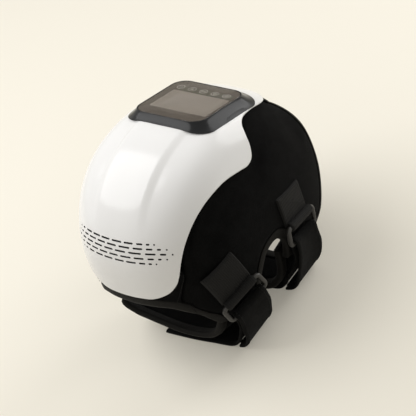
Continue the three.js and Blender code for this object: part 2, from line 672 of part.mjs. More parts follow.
// Vibration motor: can, shaft and eccentric weight in one piece, axis along X
function vibrationMotor(side) {
  const frame = skinFrame(motorAngle, side * motorX, wellDepth);
  const centre = at(frame, 0, 0, motorRadius + 4 * gap);
  const out = vector(-side, 0, 0);
  const can = turned(centre, out, [[-motorLength / 2, motorRadius], [motorLength / 2, motorRadius]], 16);
  const shaft = turned(centre, out, [[0, motorShaftRadius], [motorLength / 2 + motorShaftLength, motorShaftRadius]], 8);
  const weightFrame = { origin: centre.clone().addScaledVector(out, motorLength / 2 + motorShaftLength - weightLength),
    across: frame.forward, forward: frame.up.clone(), up: out };
  const half = Array.from({ length: 7 }, (_, k) => {
    const turn = Math.PI * k / 6;
    return [weightRadius * Math.cos(turn), weightRadius * Math.sin(turn) - motorShaftRadius / 2];
  });
  return joined([can, shaft, prism(weightFrame, half, 0, weightLength)]);
}

function airPump() {
  const frame = skinFrame(pumpAngle, pumpX, wellDepth);
  const centre = at(frame, 0, 0, pumpRadius + 3 * gap);
  const end = pumpLength / 2;
  const neck = pumpRadius / 3;
  return turned(centre, vector(1, 0, 0), [[-end, pumpRadius * 0.8], [-end + neck, pumpRadius], [end - neck, pumpRadius],
    [end, pumpRadius * 0.8]], 18);
}

function valveCentre() {
  return at(skinFrame(pumpAngle, valveX, wellDepth), 0, 0, valveRadius + 4 * gap);
}

function airValve() {
  return turned(valveCentre(), vector(1, 0, 0), [[-valveLength / 2, valveRadius], [valveLength / 2, valveRadius]], 12);
}

// Hose from the pump's end to the valve, straight along X at the valve's height
function airHose() {
  const start = at(skinFrame(pumpAngle, pumpX, wellDepth), 0, 0, pumpRadius + 3 * gap);
  const centre = valveCentre();
  const from = start.x + pumpLength / 2 + gap;
  const to = centre.x - valveLength / 2 - gap;
  const origin = vector(from, centre.y, centre.z);
  const tube = turned(origin, vector(1, 0, 0), [[0, hoseRadius], [to - from, hoseRadius]], 10);
  const bore = turned(origin, vector(1, 0, 0), [[-overrun, hoseBore], [to - from + overrun, hoseBore]], 10);
  return cut(tube, [bore]);
}

function chargingSocket() {
  const top = -shellWall - 2 * gap;
  const block = prism(socketFrame, roundedRectangle(socketWidth + 2 * socketWall, socketHeight + 2 * socketWall, socketWall, 2),
    top - socketDepth, top);
  const hollow = prism(socketFrame, socketOutline(-2 * gap), top - socketDepth * 0.8, overrun);
  return cut(block, [hollow]);
}

// Soft plug that closes the socket's hole flush with the shell
function portCover() {
  return prism(socketFrame, socketOutline(-2 * gap), -shellWall, 0);
}

function screw({ origin, up }) {
  return joined([
    turned(origin, up, [[-3 * gap - screwHeadHeight, screwHeadRadius * 0.7], [-3 * gap - screwHeadHeight / 2, screwHeadRadius],
      [-3 * gap, screwHeadRadius]], 12),
    turned(origin, up, [[-3 * gap - screwHeadHeight / 2, screwRadius], [wellDepth * 0.55, screwRadius]], 8)]);
}

function ventScreen() {
  const top = ventTopAngle - ventBow - screenMargin;
  const bottom = ventTopAngle + (ventRows - 1) * ventRowStep + screenMargin;
  return sheet(6, 10, (u, v, side) => {
    const angle = mix(top, bottom, u);
    const sweep = sweepAtX(angle, mix(-screenHalf, screenHalf, v) || gap / 10);
    return skin(angle, sweep, shellWall + 2 * gap + side * screenWall);
  });
}

// Layers under the cradle: each a sheet over the knee at a depth below the skin
const bladderDepth = wellDepth + cradleWall + screwHeadHeight + 5 * gap;
const heaterDepth = bladderDepth + bladderWall + 2 * gap;
const liningDepth = heaterDepth + heaterWall + 3 * gap;

function layer(depth, wall, [low, high]) {
  return sheet(10, 6, (u, v, side) => skin(mix(low, high, u), mix(-1, 1, v) * padHalfSweep, depth + side * wall));
}

function kneeLining() {
  return sheet(18, 10, (u, v, side) => {
    const angle = mix(wellBack[0] + 1.5, wellFront[0] - 1.5, u);
    const edge = along(nearEdgeShares, angle);
    const sweep = mix(-1, 1, v) * (edge + 0.075);
    const front = smooth(-angle, -wellFront[0] + 1, -wellFront[1] - 4);
    const back = smooth(angle, wellBack[0] + 1, wellBack[1] - 4);
    const flank = 1 - smooth(Math.abs(sweep) / edge, wellSide[1] + 0.06, wellSide[0] + 0.14);
    const deep = mix(liningEdge, liningDepth, front * back * flank);
    return skin(angle, sweep, deep + side * liningWall);
  });
}

// Wing: u runs from the thigh corner to the calf corner, w from the notch out to the edge
function wingPlace(sign, edgeShares) {
  return (u, w, depth) => {
    const thigh = mix(thighNotchAngle, thighCornerAngle, w);
    const calf = mix(calfNotchAngle, calfCornerAngle, w);
    const edge = along(edgeShares, mix(thighCornerAngle, calfCornerAngle, u));
    const top = mix(wingProud, wingTuck, smooth(w, 0.48, 0.72));
    const angle = mix(thigh, calf, u);
    return skin(angle, sign * mix(along(notchShares, angle), edge, w), top + depth);
  };
}

// Length of a line on a sheet, in steps
function lineLength(place, steps = 12) {
  let total = 0;
  for (let k = 0; k < steps; k += 1) total += place(k / steps).distanceTo(place((k + 1) / steps));
  return total;
}

// Fabric of a wing inside its tape; the near wing is taped along its bottoms too, the far one runs on as flaps
function wing(sign, edgeShares, tapedBottoms) {
  const place = wingPlace(sign, edgeShares);
  const inU = (w) => tapeWidth / lineLength((t) => place(t, w, 0));
  const inW = (u) => tapeWidth / lineLength((t) => place(u, t, 0), 4);
  const nearest = (angle) => Math.round(wingRows
    * THREE.MathUtils.inverseLerp(thighCornerAngle, calfCornerAngle, angle)) / wingRows;
  const [backSeam, frontSeam] = seamAngles.map(nearest);
  const spare = 1 + 1.5 * gap / tapeWidth;
  const fabric = sheet(wingRows, 7, (i, j, side) => {
    const margin = (end) => (tapedBottoms ? inU(mix(inW(end), 1 - inW(end), j)) * spare : 0);
    const u = mix(margin(0), 1 - margin(1), i);
    const outer = i > backSeam && i < frontSeam ? 1 : 1 - inW(u) * spare;
    return place(u, mix(inW(u) * spare, outer, j), side * wingWall);
  });
  return { fabric, place, inU, inW, backSeam, frontSeam };
}

// Tape along a path of [outer, inner] places on a sheet
function tape(place, pairs, wall) {
  return sheet(pairs.length - 1, 1, (u, v, side) => {
    const [outer, inner] = pairs[Math.round(u * (pairs.length - 1))];
    const p = v < 0.5 ? outer : inner;
    return place(p[0], p[1], side === 0 ? -tapeProud : wall + tapeProud);
  });
}

// Stations of a wing's tape as [outer, inner] places on its sheet, at the fabric's own rows. At a corner the inner
// place is where the inside lines of its two edges meet
function wingEdges({ inU, inW, backSeam, frontSeam }, tapedBottoms) {
  const insideW = (u, w) => (w === 1 ? 1 - inW(u) : inW(u));
  const insideU = (u, w) => (u === 1 ? 1 - inU(w) : inU(w));
  const inside = (u, w) => {
    if (!tapedBottoms) return [u, insideW(u, w)];
    const place = insideU(u, insideW(u, w));
    return [insideU(u, insideW(place, w)), insideW(place, w)];
  };
  const rows = (from, to, w) => series(from, to, Math.round(Math.abs(to - from) * wingRows))
    .map((i) => mix(inside(0, w)[0], inside(1, w)[0], i));
  const side = (w) => (u) => [[u, w], [u, insideW(u, w)]];
  const bottom = (u, from, to) => series(inside(u, from)[1], inside(u, to)[1], 7).map((w) => [[u, w], [insideU(u, w), w]]);
  const corner = (u, w) => [[u, w], inside(u, w)];
  return {
    calfEdge: rows(frontSeam, 1, 1).map(side(1)),
    calfBottom: [corner(1, 1), ...bottom(1, 1, 0), corner(1, 0)],
    notch: rows(1, 0, 0).map(side(0)),
    thighBottom: [corner(0, 0), ...bottom(0, 0, 1), corner(0, 1)],
    thighEdge: rows(0, backSeam, 1).map(side(1)),
  };
}

// Tape on the shell's front and back lips between the wings
function lipTape(front) {
  const limit = front ? frontLipHalf : backLipHalf;
  const start = front ? shellEdge[0].angle + gap : shellEdge[shellRows].angle - gap;
  return sheet(14, 1, (u, v, side) => {
    const sweep = mix(-limit, limit, u);
    const end = front ? along(lipAngles, Math.abs(sweep)) : backLipAngle;
    return skin(mix(start, end, v), sweep, mix(lipTuck, wingTuck + wingWall, side));
  });
}

// Flap: s runs from the far wing round to its end, t from the front edge to the rear edge; start(t, depth) is the
// wing's bottom edge
function flapPlace(start, frontShares, rearShares, curl) {
  const middleDepth = wingWall / 2;
  const curves = [frontShares, rearShares].map((shares, t) => new THREE.CatmullRomCurve3(
    [start(t, middleDepth), ...scaled(shares)], false, 'centripetal'));
  const blendEnd = 0.2;
  const middle = (s, t) => {
    const [front, rear] = curves.map((curve) => curve.getPoint(s));
    const steep = mix(1, curl, smooth(s, 0, blendEnd) * (1 - smooth(s, 1 - 2 * blendEnd, 1)));
    const point = front.clone().lerp(rear, t);
    point.z = mix(front.z, rear.z, 1 - (1 - t) ** steep);
    const bow = start(t, middleDepth).sub(start(0, middleDepth).lerp(start(1, middleDepth), t));
    return point.addScaledVector(bow, 1 - smooth(s, 0, blendEnd));
  };
  return (s, t, depth) => {
    const step = 0.01;
    const low = Math.max(0, s - step);
    const high = Math.min(1, s + step);
    const run = middle(high, t).sub(middle(low, t));
    const width = middle(s, Math.min(1, t + step)).sub(middle(s, Math.max(0, t - step)));
    const offset = run.cross(width).normalize().multiplyScalar(middleDepth - depth);
    const asWing = start(t, depth).sub(start(t, middleDepth));
    return middle(s, t).add(asWing.lerp(offset, smooth(s, 0, blendEnd / 2)));
  };
}

function flap(start, frontShares, rearShares, curl) {
  const place = flapPlace(start, frontShares, rearShares, curl);
  const inT = (s) => tapeWidth / place(s, 0, 0).distanceTo(place(s, 1, 0));
  const inS = tapeWidth / lineLength((s) => place(s, 0.5, 0));
  const spare = 1 + 5 * gap / tapeWidth;
  const fabric = sheet(20, 5, (i, j, side) => {
    const s = i * (1 - inS * spare);
    return place(s, mix(inT(s) * spare, 1 - inT(s) * spare, j), side * wingWall);
  });
  const front = series(0, 1 - inS, 20).map((s) => [[s, 0], [s, inT(s)]]);
  const rear = series(1 - inS, 0, 20).map((s) => [[s, 1], [s, 1 - inT(s)]]);
  const end = [[[1, 0], [1 - inS, inT(1)]], [[1, 0.5], [1 - inS, 0.5]], [[1, 1], [1 - inS, 1 - inT(1)]]];
  return { fabric, tape: tape(place, [...front, ...end, ...rear], wingWall) };
}

// Webbing tab on the near wing: lower corners, rail line and hang direction
function tabSite({ centre, width, length, down, rear, overTape }) {
  const [y, z] = centre.map((share) => share * halfWidth);
  const place = (a, b, depth) => skinBeside(y + a * width * rear[0] + b * length * down[0],
    z + a * width * rear[1] + b * length * down[1], depth);
  const front = place(-0.5, 0.5, 0);
  const back = place(0.5, 0.5, 0);
  const rail = back.clone().sub(front).normalize();
  const rise = place(0, 0.5, 0).sub(place(0, 0.3, 0)).normalize();
  const out = rail.clone().cross(rise).normalize();
  if (out.x < 0) out.negate();
  const standoff = railRadius + railClearance + sleeveWall + gap - wingProud + gap;
  const upper = place(0, 0.5, 0).addScaledVector(out, standoff);
  const hang = vector(0, 0, -1).addScaledVector(rail, rail.z).normalize();
  const lower = upper.clone().addScaledVector(hang, ringWindowHeight + 2 * railRadius);
  const outward = rail.clone().cross(hang).normalize();
  if (outward.x < 0) outward.negate();
  return { place, rail, upper, lower, hang, outward, overTape, width: back.distanceTo(front) };
}

const sites = { calf: tabSite(tabs.calf), thigh: tabSite(tabs.thigh) };

function webbingTab({ place, rail, upper, width, overTape }) {
  const patch = sheet(6, 5, (u, v, side) => {
    const lift = u < overTape ? tapeProud + gap / 3 : 0;
    return place(u - 0.5, v - 0.5, wingProud - gap - lift - side * webbingWall);
  });
  const tube = (radius, spare) => turned(upper, rail, [[-width / 2 - spare, radius], [width / 2 + spare, radius]], 16);
  return cut(joined([patch, tube(railRadius + railClearance + sleeveWall, 0)]),
    [tube(railRadius + railClearance, overrun)]);
}

// Ring: round bar bent to a rounded rectangle, hanging from the tab's fold
function ring({ rail, upper, hang, outward }) {
  const frame = { origin: upper.clone().lerp(upper.clone().addScaledVector(hang, ringWindowHeight + 2 * railRadius), 0.5),
    across: rail, forward: hang, up: outward };
  const places = roundedRectangle(ringWindowWidth + 2 * railRadius, ringWindowHeight + 2 * railRadius, ringCornerRadius, 3);
  const corners = [[1, 1], [-1, 1], [-1, -1], [1, -1]];
  const rings = places.map(([a, b], k) => {
    const [right, top] = corners[Math.floor(k / 4)];
    const outA = a - right * ((ringWindowWidth + 2 * railRadius) / 2 - ringCornerRadius);
    const outB = b - top * ((ringWindowHeight + 2 * railRadius) / 2 - ringCornerRadius);
    const out = Math.hypot(outA, outB);
    return circle(railRadius, 8).map(([r, h]) => at(frame, a + r * outA / out, b + r * outB / out, h));
  });
  return loft(rings, true);
}

// Flat band through middle points with width directions
function band(points, widths, directions, wall) {
  const rings = points.map((p, k) => {
    const before = points[Math.max(0, k - 1)];
    const after = points[Math.min(points.length - 1, k + 1)];
    const run = after.clone().sub(before).normalize();
    const across = directions[k];
    const normal = run.clone().cross(across).normalize();
    const corner = (a, b) => p.clone().addScaledVector(across, a * widths[k] / 2).addScaledVector(normal, b * wall / 2);
    return [corner(-1, -1), corner(1, -1), corner(1, 1), corner(-1, 1)];
  });
  return loft(rings);
}

const spaced = (points, count) => new THREE.CatmullRomCurve3(points, false, 'centripetal').getSpacedPoints(count);
const scaled = (shares) => shares.map(([x, y, z]) => vector(x, y, z).multiplyScalar(halfWidth));
const level = vector(0, 1, 0);

// Strap: the run under the leg, the rise to the ring, the tail with its turn over the ring's lower rail, and its hook
function strap(site, runShares, riserShares, tailShares) {
  const turnRadius = railRadius + railClearance + strapWall / 2;
  const turnPoint = (turn) => site.lower.clone().addScaledVector(site.outward, turnRadius * Math.cos(turn * degrees))
    .addScaledVector(site.hang, -turnRadius * Math.sin(turn * degrees));
  const evenly = (value, count) => Array.from({ length: count }, () => value);
  const toRing = (count, reversed) => Array.from({ length: count }, (_, k) => {
    const share = reversed ? smooth(1 - k / (count - 1), 0.34, 0.95) : smooth(k / (count - 1), 0, 0.85);
    return { direction: level.clone().lerp(site.rail, share).normalize(), width: mix(strapWidth, strapWidthAtRing, share) };
  });

  const runPoints = scaled(runShares);
  const run = band(runPoints, evenly(strapWidth, runPoints.length), evenly(level, runPoints.length), strapWall);

  const foot = runPoints[runPoints.length - 1];
  const lead = foot.clone().sub(runPoints[runPoints.length - 2]).normalize();
  const riserPoints = spaced([foot.clone().addScaledVector(lead, 1.5 * gap), ...scaled(riserShares),
    turnPoint(turnSpan).addScaledVector(site.hang, 4 * gap)], riserSteps);
  const rise = toRing(riserPoints.length);
  const riser = band(riserPoints, rise.map((k) => k.width), rise.map((k) => k.direction), strapWall);

  const turnPoints = series(turnSpan, 0, turnSteps).map(turnPoint);
  const tailPoints = [...turnPoints, ...scaled(tailShares)];
  const fall = toRing(tailShares.length + 1, true).slice(1);
  const tail = band(tailPoints, [...evenly(strapWidthAtRing, turnPoints.length), ...fall.map((k) => k.width)],
    [...evenly(site.rail, turnPoints.length), ...fall.map((k) => k.direction)], strapWall);

  const hookDirections = fall.slice(-3).reverse().map((k) => k.direction);
  const hookPoints = hookDirections.map((direction, k) => {
    const place = tailPoints.length - 1 - k;
    const slope = tailPoints[place - 1].clone().sub(tailPoints[Math.min(place + 1, tailPoints.length - 1)]).normalize();
    const inward = slope.cross(direction).normalize();
    return tailPoints[place].clone().addScaledVector(inward, (strapWall + hookWall) / 2 + 1.2 * gap);
  });
  const hook = band(hookPoints, evenly(strapWidth - 2 * hookMargin, 3), hookDirections, hookWall);
  return { run, riser, tail, hook };
}

// Assembly
const massager = new THREE.Group();

function add(name, geometry, material) {
  const mesh = new THREE.Mesh(geometry, material);
  mesh.name = name;
  massager.add(mesh);
  return mesh;
}

add('outer_shell', outerShell(), finishes.shell);
add('vent_screen', ventScreen(), finishes.cradle);
add('display_bezel', displayBezel(), finishes.bezel);
add('display_glass', displayGlass(), finishes.glass);
add('lcd_module', lcdModule(), finishes.lcd);
add('touch_key_board', touchKeyBoard(), finishes.board);
add('inner_cradle', innerCradle(), finishes.cradle);
add('main_board', mainBoard(), finishes.board);
add('battery_pack', batteryPack(), finishes.battery);
add('near_vibration_motor', vibrationMotor(1), finishes.steel);
add('far_vibration_motor', vibrationMotor(-1), finishes.steel);
add('air_pump', airPump(), finishes.pump);
add('air_valve', airValve(), finishes.pump);
add('air_hose', airHose(), finishes.bladder);
add('charging_socket', chargingSocket(), finishes.steel);
add('port_cover', portCover(), finishes.shell);
screwFrames.forEach((frame, k) => add(`shell_screw_${k + 1}`, screw(frame), finishes.steel));
add('air_bladder', layer(bladderDepth, bladderWall, bladderAngles), finishes.bladder);
add('heating_film', layer(heaterDepth, heaterWall, heaterAngles), finishes.heater);
add('knee_lining', kneeLining(), finishes.plush);

const nearWing = wing(1, nearEdgeShares, true);
const nearEdges = wingEdges(nearWing, true);
add('near_wing', nearWing.fabric, finishes.plush);
add('near_wing_tape', tape(nearWing.place, [...nearEdges.calfEdge, ...nearEdges.calfBottom, ...nearEdges.notch,
  ...nearEdges.thighBottom, ...nearEdges.thighEdge], wingWall), finishes.tape);
const farWing = wing(-1, farEdgeShares, false);
const farEdges = wingEdges(farWing, false);
add('far_wing', farWing.fabric, finishes.plush);
add('far_calf_edge_tape', tape(farWing.place, farEdges.calfEdge, wingWall), finishes.tape);
add('far_notch_tape', tape(farWing.place, farEdges.notch, wingWall), finishes.tape);
add('far_thigh_edge_tape', tape(farWing.place, farEdges.thighEdge, wingWall), finishes.tape);
add('front_lip_tape', lipTape(true), finishes.tape);
add('back_lip_tape', lipTape(false), finishes.tape);

const pastWing = (w) => 1.5 * gap / lineLength((u) => farWing.place(u, w, 0));
const calfFlap = flap((t, depth) => farWing.place(1 + pastWing(1 - t), 1 - t, depth), calfFlapFrontShares,
  calfFlapRearShares, calfFlapCurl);
const thighFlap = flap((t, depth) => farWing.place(-pastWing(t), t, depth), thighFlapFrontShares, thighFlapRearShares,
  thighFlapCurl);
add('calf_flap', calfFlap.fabric, finishes.plush);
add('calf_flap_tape', calfFlap.tape, finishes.tape);
add('thigh_flap', thighFlap.fabric, finishes.plush);
add('thigh_flap_tape', thighFlap.tape, finishes.tape);

const straps = {
  calf: strap(sites.calf, calfRunShares, calfRiserShares, calfTailShares),
  thigh: strap(sites.thigh, thighRunShares, thighRiserShares, thighTailShares),
};
for (const [name, site] of Object.entries(sites)) {
  add(`${name}_tab`, webbingTab(site), finishes.webbing);
  add(`${name}_ring`, ring(site), finishes.ring);
  add(`${name}_strap_run`, straps[name].run, finishes.strap);
  add(`${name}_strap_riser`, straps[name].riser, finishes.strap);
  add(`${name}_strap_tail`, straps[name].tail, finishes.strap);
  add(`${name}_hook_patch`, straps[name].hook, finishes.hook);
}

// Origin at the centre of the bounding box's underside
const bounds = new THREE.Box3().setFromObject(massager);
const middle = bounds.getCenter(new THREE.Vector3());
massager.children.forEach((mesh) => mesh.geometry.translate(-middle.x, -middle.y, -bounds.min.z));

export default massager;
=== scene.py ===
"""Heated knee massager: a glossy domed shell with a tilted display, on black padded wings, flaps and straps.

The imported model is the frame. Shapes are worked out in millimetres about the maker's own zero, which is the
centre plane, the shell's front lip and the undersides of the straps, and to_row() brings them into the frame:
+X is the side where the straps fasten, +Y the thigh end, +Z up through the display.
Every layer follows one skin, a profile turned about the notch axis behind the knee, as in the frame.
"""

import math

import bmesh
import bpy
import numpy as np
from mathutils import Matrix, Vector


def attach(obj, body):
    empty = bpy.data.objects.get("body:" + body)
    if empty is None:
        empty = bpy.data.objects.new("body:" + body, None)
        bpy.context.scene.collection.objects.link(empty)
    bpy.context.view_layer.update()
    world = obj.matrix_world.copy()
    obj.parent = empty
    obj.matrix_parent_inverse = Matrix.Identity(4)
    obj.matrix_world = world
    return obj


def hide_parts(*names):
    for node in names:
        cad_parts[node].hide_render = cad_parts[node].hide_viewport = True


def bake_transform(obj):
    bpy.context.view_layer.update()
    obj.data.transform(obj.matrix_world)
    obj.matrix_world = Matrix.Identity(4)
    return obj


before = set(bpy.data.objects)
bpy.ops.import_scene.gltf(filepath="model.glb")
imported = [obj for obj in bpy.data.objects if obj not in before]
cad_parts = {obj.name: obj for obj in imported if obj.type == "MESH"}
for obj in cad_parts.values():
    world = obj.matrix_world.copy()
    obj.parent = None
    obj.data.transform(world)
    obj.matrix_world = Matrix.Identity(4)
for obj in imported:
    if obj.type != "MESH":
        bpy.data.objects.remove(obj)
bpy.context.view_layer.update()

# Maker's zero in the frame, in millimetres
zero = np.array([-4.3315, -106.9018, 0.0])

# Skin: angle about the notch axis in degrees, from +Y over the crown, with the share of each size
crown_radius, half_width = 140.0, 80.0
notch_axis = np.array([0.0, 98.0, 60.0])
crown_shares = [(-60, 0.9), (-25, 0.973), (0, 1.034), (22, 1.054), (35, 1.037), (46, 1.024), (53, 1.016),
                (62, 1.001), (73, 0.988), (85.3, 0.989), (98, 0.992), (110, 0.985), (122, 0.956), (134, 0.911),
                (142, 0.861), (152, 0.791), (160, 0.746), (180, 0.686), (205, 0.671), (235, 0.7), (265, 0.821)]
width_shares = [(-60, 0.95), (-20, 0.963), (20, 0.988), (50, 1), (95, 1.006), (130, 1.006), (160, 0.981),
                (190, 0.95), (215, 0.925), (240, 0.913), (270, 0.925)]
squareness = [(-60, 2.4), (0, 2.5), (30, 2.8), (55, 3.3), (95, 3.3), (115, 3), (135, 2.6), (160, 2.5),
              (200, 2.4), (250, 2.4)]

# Shell
shell_wall = 2.4
# Border from the front lip over the S-curved side and the lobe to the neck and the back lip: angle and half-width
shell_border = [(159.9, 0), (159.6, 14), (158.9, 26), (155, 40.5), (150, 48.3), (145.5, 51.9), (138, 55.2),
                (130.6, 57.9), (115, 63.6), (103.6, 67.2), (93, 69.6), (84, 71.4), (77.5, 71.9), (73.3, 70.2),
                (71.2, 66.4), (69.9, 60.6), (68.2, 54.6), (64.8, 49.9), (58.2, 46.6), (50.2, 43), (45.4, 37.6),
                (43.3, 31), (42.4, 20.5), (42, 0)]
# Crease: a soft step down beside the crown, with its place, depth, half rise and fade, and its strength by angle
crease_x, crease_depth, crease_rise, crease_fade = 25.5, 1.6, 4.2, 26.0
crease_shares = [(78, 0), (90, 1), (110, 1), (122, 0.45), (130, 0)]

# Vents: rows of round-ended slots, as (angle of the row's middle, its bow at bow_x, its slots as (x, length))
vent_width, bow_x = 1.6, 50.0
vent_rows = [
    (133.25, 3.3, [(37.7, 1.6), (32.5, 3.2), (25.2, 5.9), (14.7, 9.0), (2.5, 10.3), (-9.7, 9.3), (-20.2, 8.6),
                   (-30.1, 7.7), (-38.4, 3.2), (-43.6, 1.6)]),
    (135.05, 3.15, [(46.8, 1.6), (41.3, 3.6), (33.7, 5.8), (23.5, 9.1), (10.2, 11.3), (-3.2, 9.8), (-14.7, 8.9),
                    (-25.4, 8.6), (-34.5, 6.0), (-41.5, 3.4), (-46.8, 1.6)]),
    (136.9, 2.95, [(50.5, 1.6), (44.1, 5.3), (34.4, 9.4), (20.4, 12.3), (5.7, 11.1), (-6.9, 9.6), (-18.7, 9.4),
                   (-29.6, 8.4), (-38.6, 6.0), (-46.0, 3.4), (-50.5, 1.6)]),
    (138.85, 2.8, [(46.6, 1.6), (41.4, 3.1), (34.3, 5.7), (23.8, 9.5), (10.7, 10.9), (-1.9, 9.4), (-13.2, 8.9),
                   (-23.8, 8.0), (-33.2, 7.4), (-41.2, 4.0), (-46.6, 1.6)]),
    (140.8, 2.65, [(38.3, 1.6), (33.3, 3.1), (26.4, 5.9), (15.7, 9.9), (3.5, 9.8), (-8.5, 9.3), (-19.0, 8.4),
                   (-29.0, 7.0), (-36.5, 3.5), (-41.3, 1.6)]),
]

# Display
glass_tilt = math.radians(18.7)
glass_angle, glass_rise = 69.1, 0.7
glass_size, glass_corner, glass_wall = (71.1, 68.1), 12.0, 1.6
rim_wall, fit_gap = 0.9, 0.3
skirt_flare, skirt_shift = (7.0, 6.0), 1.9
skirt_bow = (3.6, 2.0)  # how far the foot's sides bow out in their middles
skirt_shares = [(0, 0), (0.12, 0.07), (0.4, 0.3), (0.7, 0.6), (0.9, 0.86), (1, 1)]
lcd_window = (61.3, 46.7, -5.25)  # width, length, middle towards the calf
shell_opening = (72.0, 63.0, 6.0, -3.5)  # width, length, corner, middle
key_row, key_pitch, key_ring = 20.8, 12.4, 3.5
ring_line, sign_line, sign_scale = 0.26, 0.24, 0.92

# Hole over the charging socket: (angle, x) of its middle, and its width, length and corner
socket_site, socket_hole = (46.5, -18.0), (10.0, 4.0, 1.97)

# Stuffing: what a pad does over the distance from its edge, and (size, reach) of its unevenness
seam_width, seam_round, seam_share, running_on_by = 0.9, 1.2, 0.62, 9.0
seam_rise, full_rise, uneven_rise = (-0.5, 2.2), (6.5, 11.0), (5.0, 16.0)
pad_ripple, tape_ripple = (0.22, 9.0), (0.14, 7.0)

# Wings: depth where they tuck under the shell and where they show, with the shares and angles between
pad_wall, tape_width = 6.0, 8.0
wing_tuck, wing_proud = 3.5, 0.6
tuck_shares, tuck_angles = (0.48, 0.72), (24.0, 40.0)
# Sweeps of the notch's edge and of the outer edges by angle, and the angles at which both end
notch_shares = [(-32, 0.89), (8, 0.899), (56, 0.896), (103, 0.912), (139, 0.913), (197, 0.876), (222, 0.87)]
notch_ends, corner_ends = (-32.0, 222.0), (-12.5, 194.0)
near_edge_shares = [(-12.5, 0.555), (-9, 0.533), (-3, 0.51), (10, 0.455), (25, 0.37), (38, 0.25), (50, 0.255),
                    (64, 0.32), (73, 0.43), (90, 0.45), (110, 0.45), (130, 0.44), (145.2, 0.439), (150, 0.418),
                    (155, 0.396), (161, 0.37), (166, 0.372), (171.5, 0.403), (177, 0.447), (184, 0.48), (194, 0.52)]
far_edge_shares = [(-12.5, 0.61), (-9, 0.54), (-3, 0.512), *near_edge_shares[3:-1], (194, 0.535)]
# Between these angles the outer edges are sewn to the shell, and outside them they are taped
seam_angles = (39.0, 167.0)

# Lip bands: how far they reach sideways as a sweep, the angles of both edges by sweep, and their lesser depth
front_lip = dict(reach=0.43, low=2.0, start=[(0, 159.6), (0.25, 159.4), (0.345, 160.8), (0.43, 165.6)],
                 end=[(0, 165.8), (0.2, 165.8), (0.289, 166.4), (0.345, 168.4), (0.43, 173.5)])
back_lip = dict(reach=0.25, low=3.2, start=[(0, 41.1), (1, 41.1)], end=[(0, 37.4), (1, 37.4)])

# Gusset between the shell's corner and the wing's seam: sizes, and sweeps of its inner and outer edges by angle
gusset_wall, gusset_depth, gusset_half = 3.6, 1.7, 12.0
gusset_inner = [(142, 0.4), (147, 0.36), (151, 0.31), (155, 0.25), (158, 0.16), (160.5, 0.06), (162.5, 0.05)]
gusset_outer = [(142, 0.444), (145.2, 0.444), (149.6, 0.425), (154.7, 0.402), (159.7, 0.38), (162.5, 0.376)]

# Flaps: their front and rear edges as shares of half_width, and how soon their height takes after the rear edge
calf_flap_front = [(-0.68, 0.435, 0.44), (-0.575, 0.455, 0.31), (-0.42, 0.47, 0.25), (-0.18, 0.475, 0.188),
                   (0.03, 0.475, 0.155), (0.3, 0.475, 0.185), (0.47, 0.475, 0.26), (0.575, 0.49, 0.4),
                   (0.61, 0.53, 0.56), (0.625, 0.56, 0.72)]
calf_flap_rear = [(-0.87, 1.045, 0.4), (-0.74, 1.05, 0.21), (-0.58, 1.055, 0.11), (-0.4, 1.06, 0.09),
                  (-0.05, 1.06, 0.088), (0.3, 1.06, 0.095), (0.54, 1.06, 0.19), (0.68, 1.05, 0.36),
                  (0.725, 1.03, 0.53), (0.74, 1.01, 0.68)]
thigh_flap_front = [(-0.9, 1.455, 0.38), (-0.8, 1.43, 0.2), (-0.6, 1.4, 0.1), (-0.42, 1.38, 0.088),
                    (0, 1.38, 0.088), (0.44, 1.38, 0.09), (0.62, 1.4, 0.14), (0.73, 1.44, 0.27),
                    (0.765, 1.48, 0.45), (0.775, 1.5, 0.64)]
thigh_flap_rear = [(-0.8, 2.18, 0.38), (-0.72, 2.07, 0.2), (-0.57, 1.97, 0.1), (-0.42, 1.93, 0.088),
                   (0, 1.92, 0.088), (0.44, 1.92, 0.09), (0.6, 1.93, 0.14), (0.69, 1.96, 0.27),
                   (0.72, 1.98, 0.45), (0.73, 1.98, 0.64)]
calf_flap_curl, thigh_flap_curl = 2.4, 1.0

# Lining: the angles of its ends, its depth at its edges and in the well over the knee, and where the well's
# walls stand, by angle in front and behind and by share of the edge's sweep at the sides
lining_ends, lining_edge, lining_depth, lining_tuck = (42.5, 159.5), 10.8, 35.3, 0.075
well_front, well_back, well_side = (145.0, 160.0), (42.0, 46.0), (0.78, 1.07)

# Tabs, rings and straps
webbing_wall, sleeve_wall = 2.2, 1.8
rail_radius, rail_clearance = 2.1, 0.3
ring_window, ring_corner = (39.0, 11.8), 3.4
tabs = {
    "calf": dict(y=47.4, z=91.4, width=33.5, length=38.0, down=(0.245, -0.97), rear=(0.957, 0.29)),
    "thigh": dict(y=143.2, z=91.6, width=36.5, length=32.0, down=(-0.035, -0.999), rear=(0.972, -0.235)),
}
strap_wall, strap_width, strap_width_at_ring, turn_span = 2.6, 41.0, 36.0, 190.0
# Stations along a strap, its seams' distance from its edges, and the shares of a riser and of a tail over which
# it changes between its own width and the ring's
strap_rows, strap_seam, riser_change, tail_change = 150, 3.4, 0.85, (0.05, 0.66)
hook_wall, hook_margin, hook_rows, hook_sunk = 0.8, 3.0, 34, 0.25
# Where a run starts to rise, as a share of half_width, and how far below its rail a tail bends fully
riser_foot, tail_bend = 0.169, 8.0
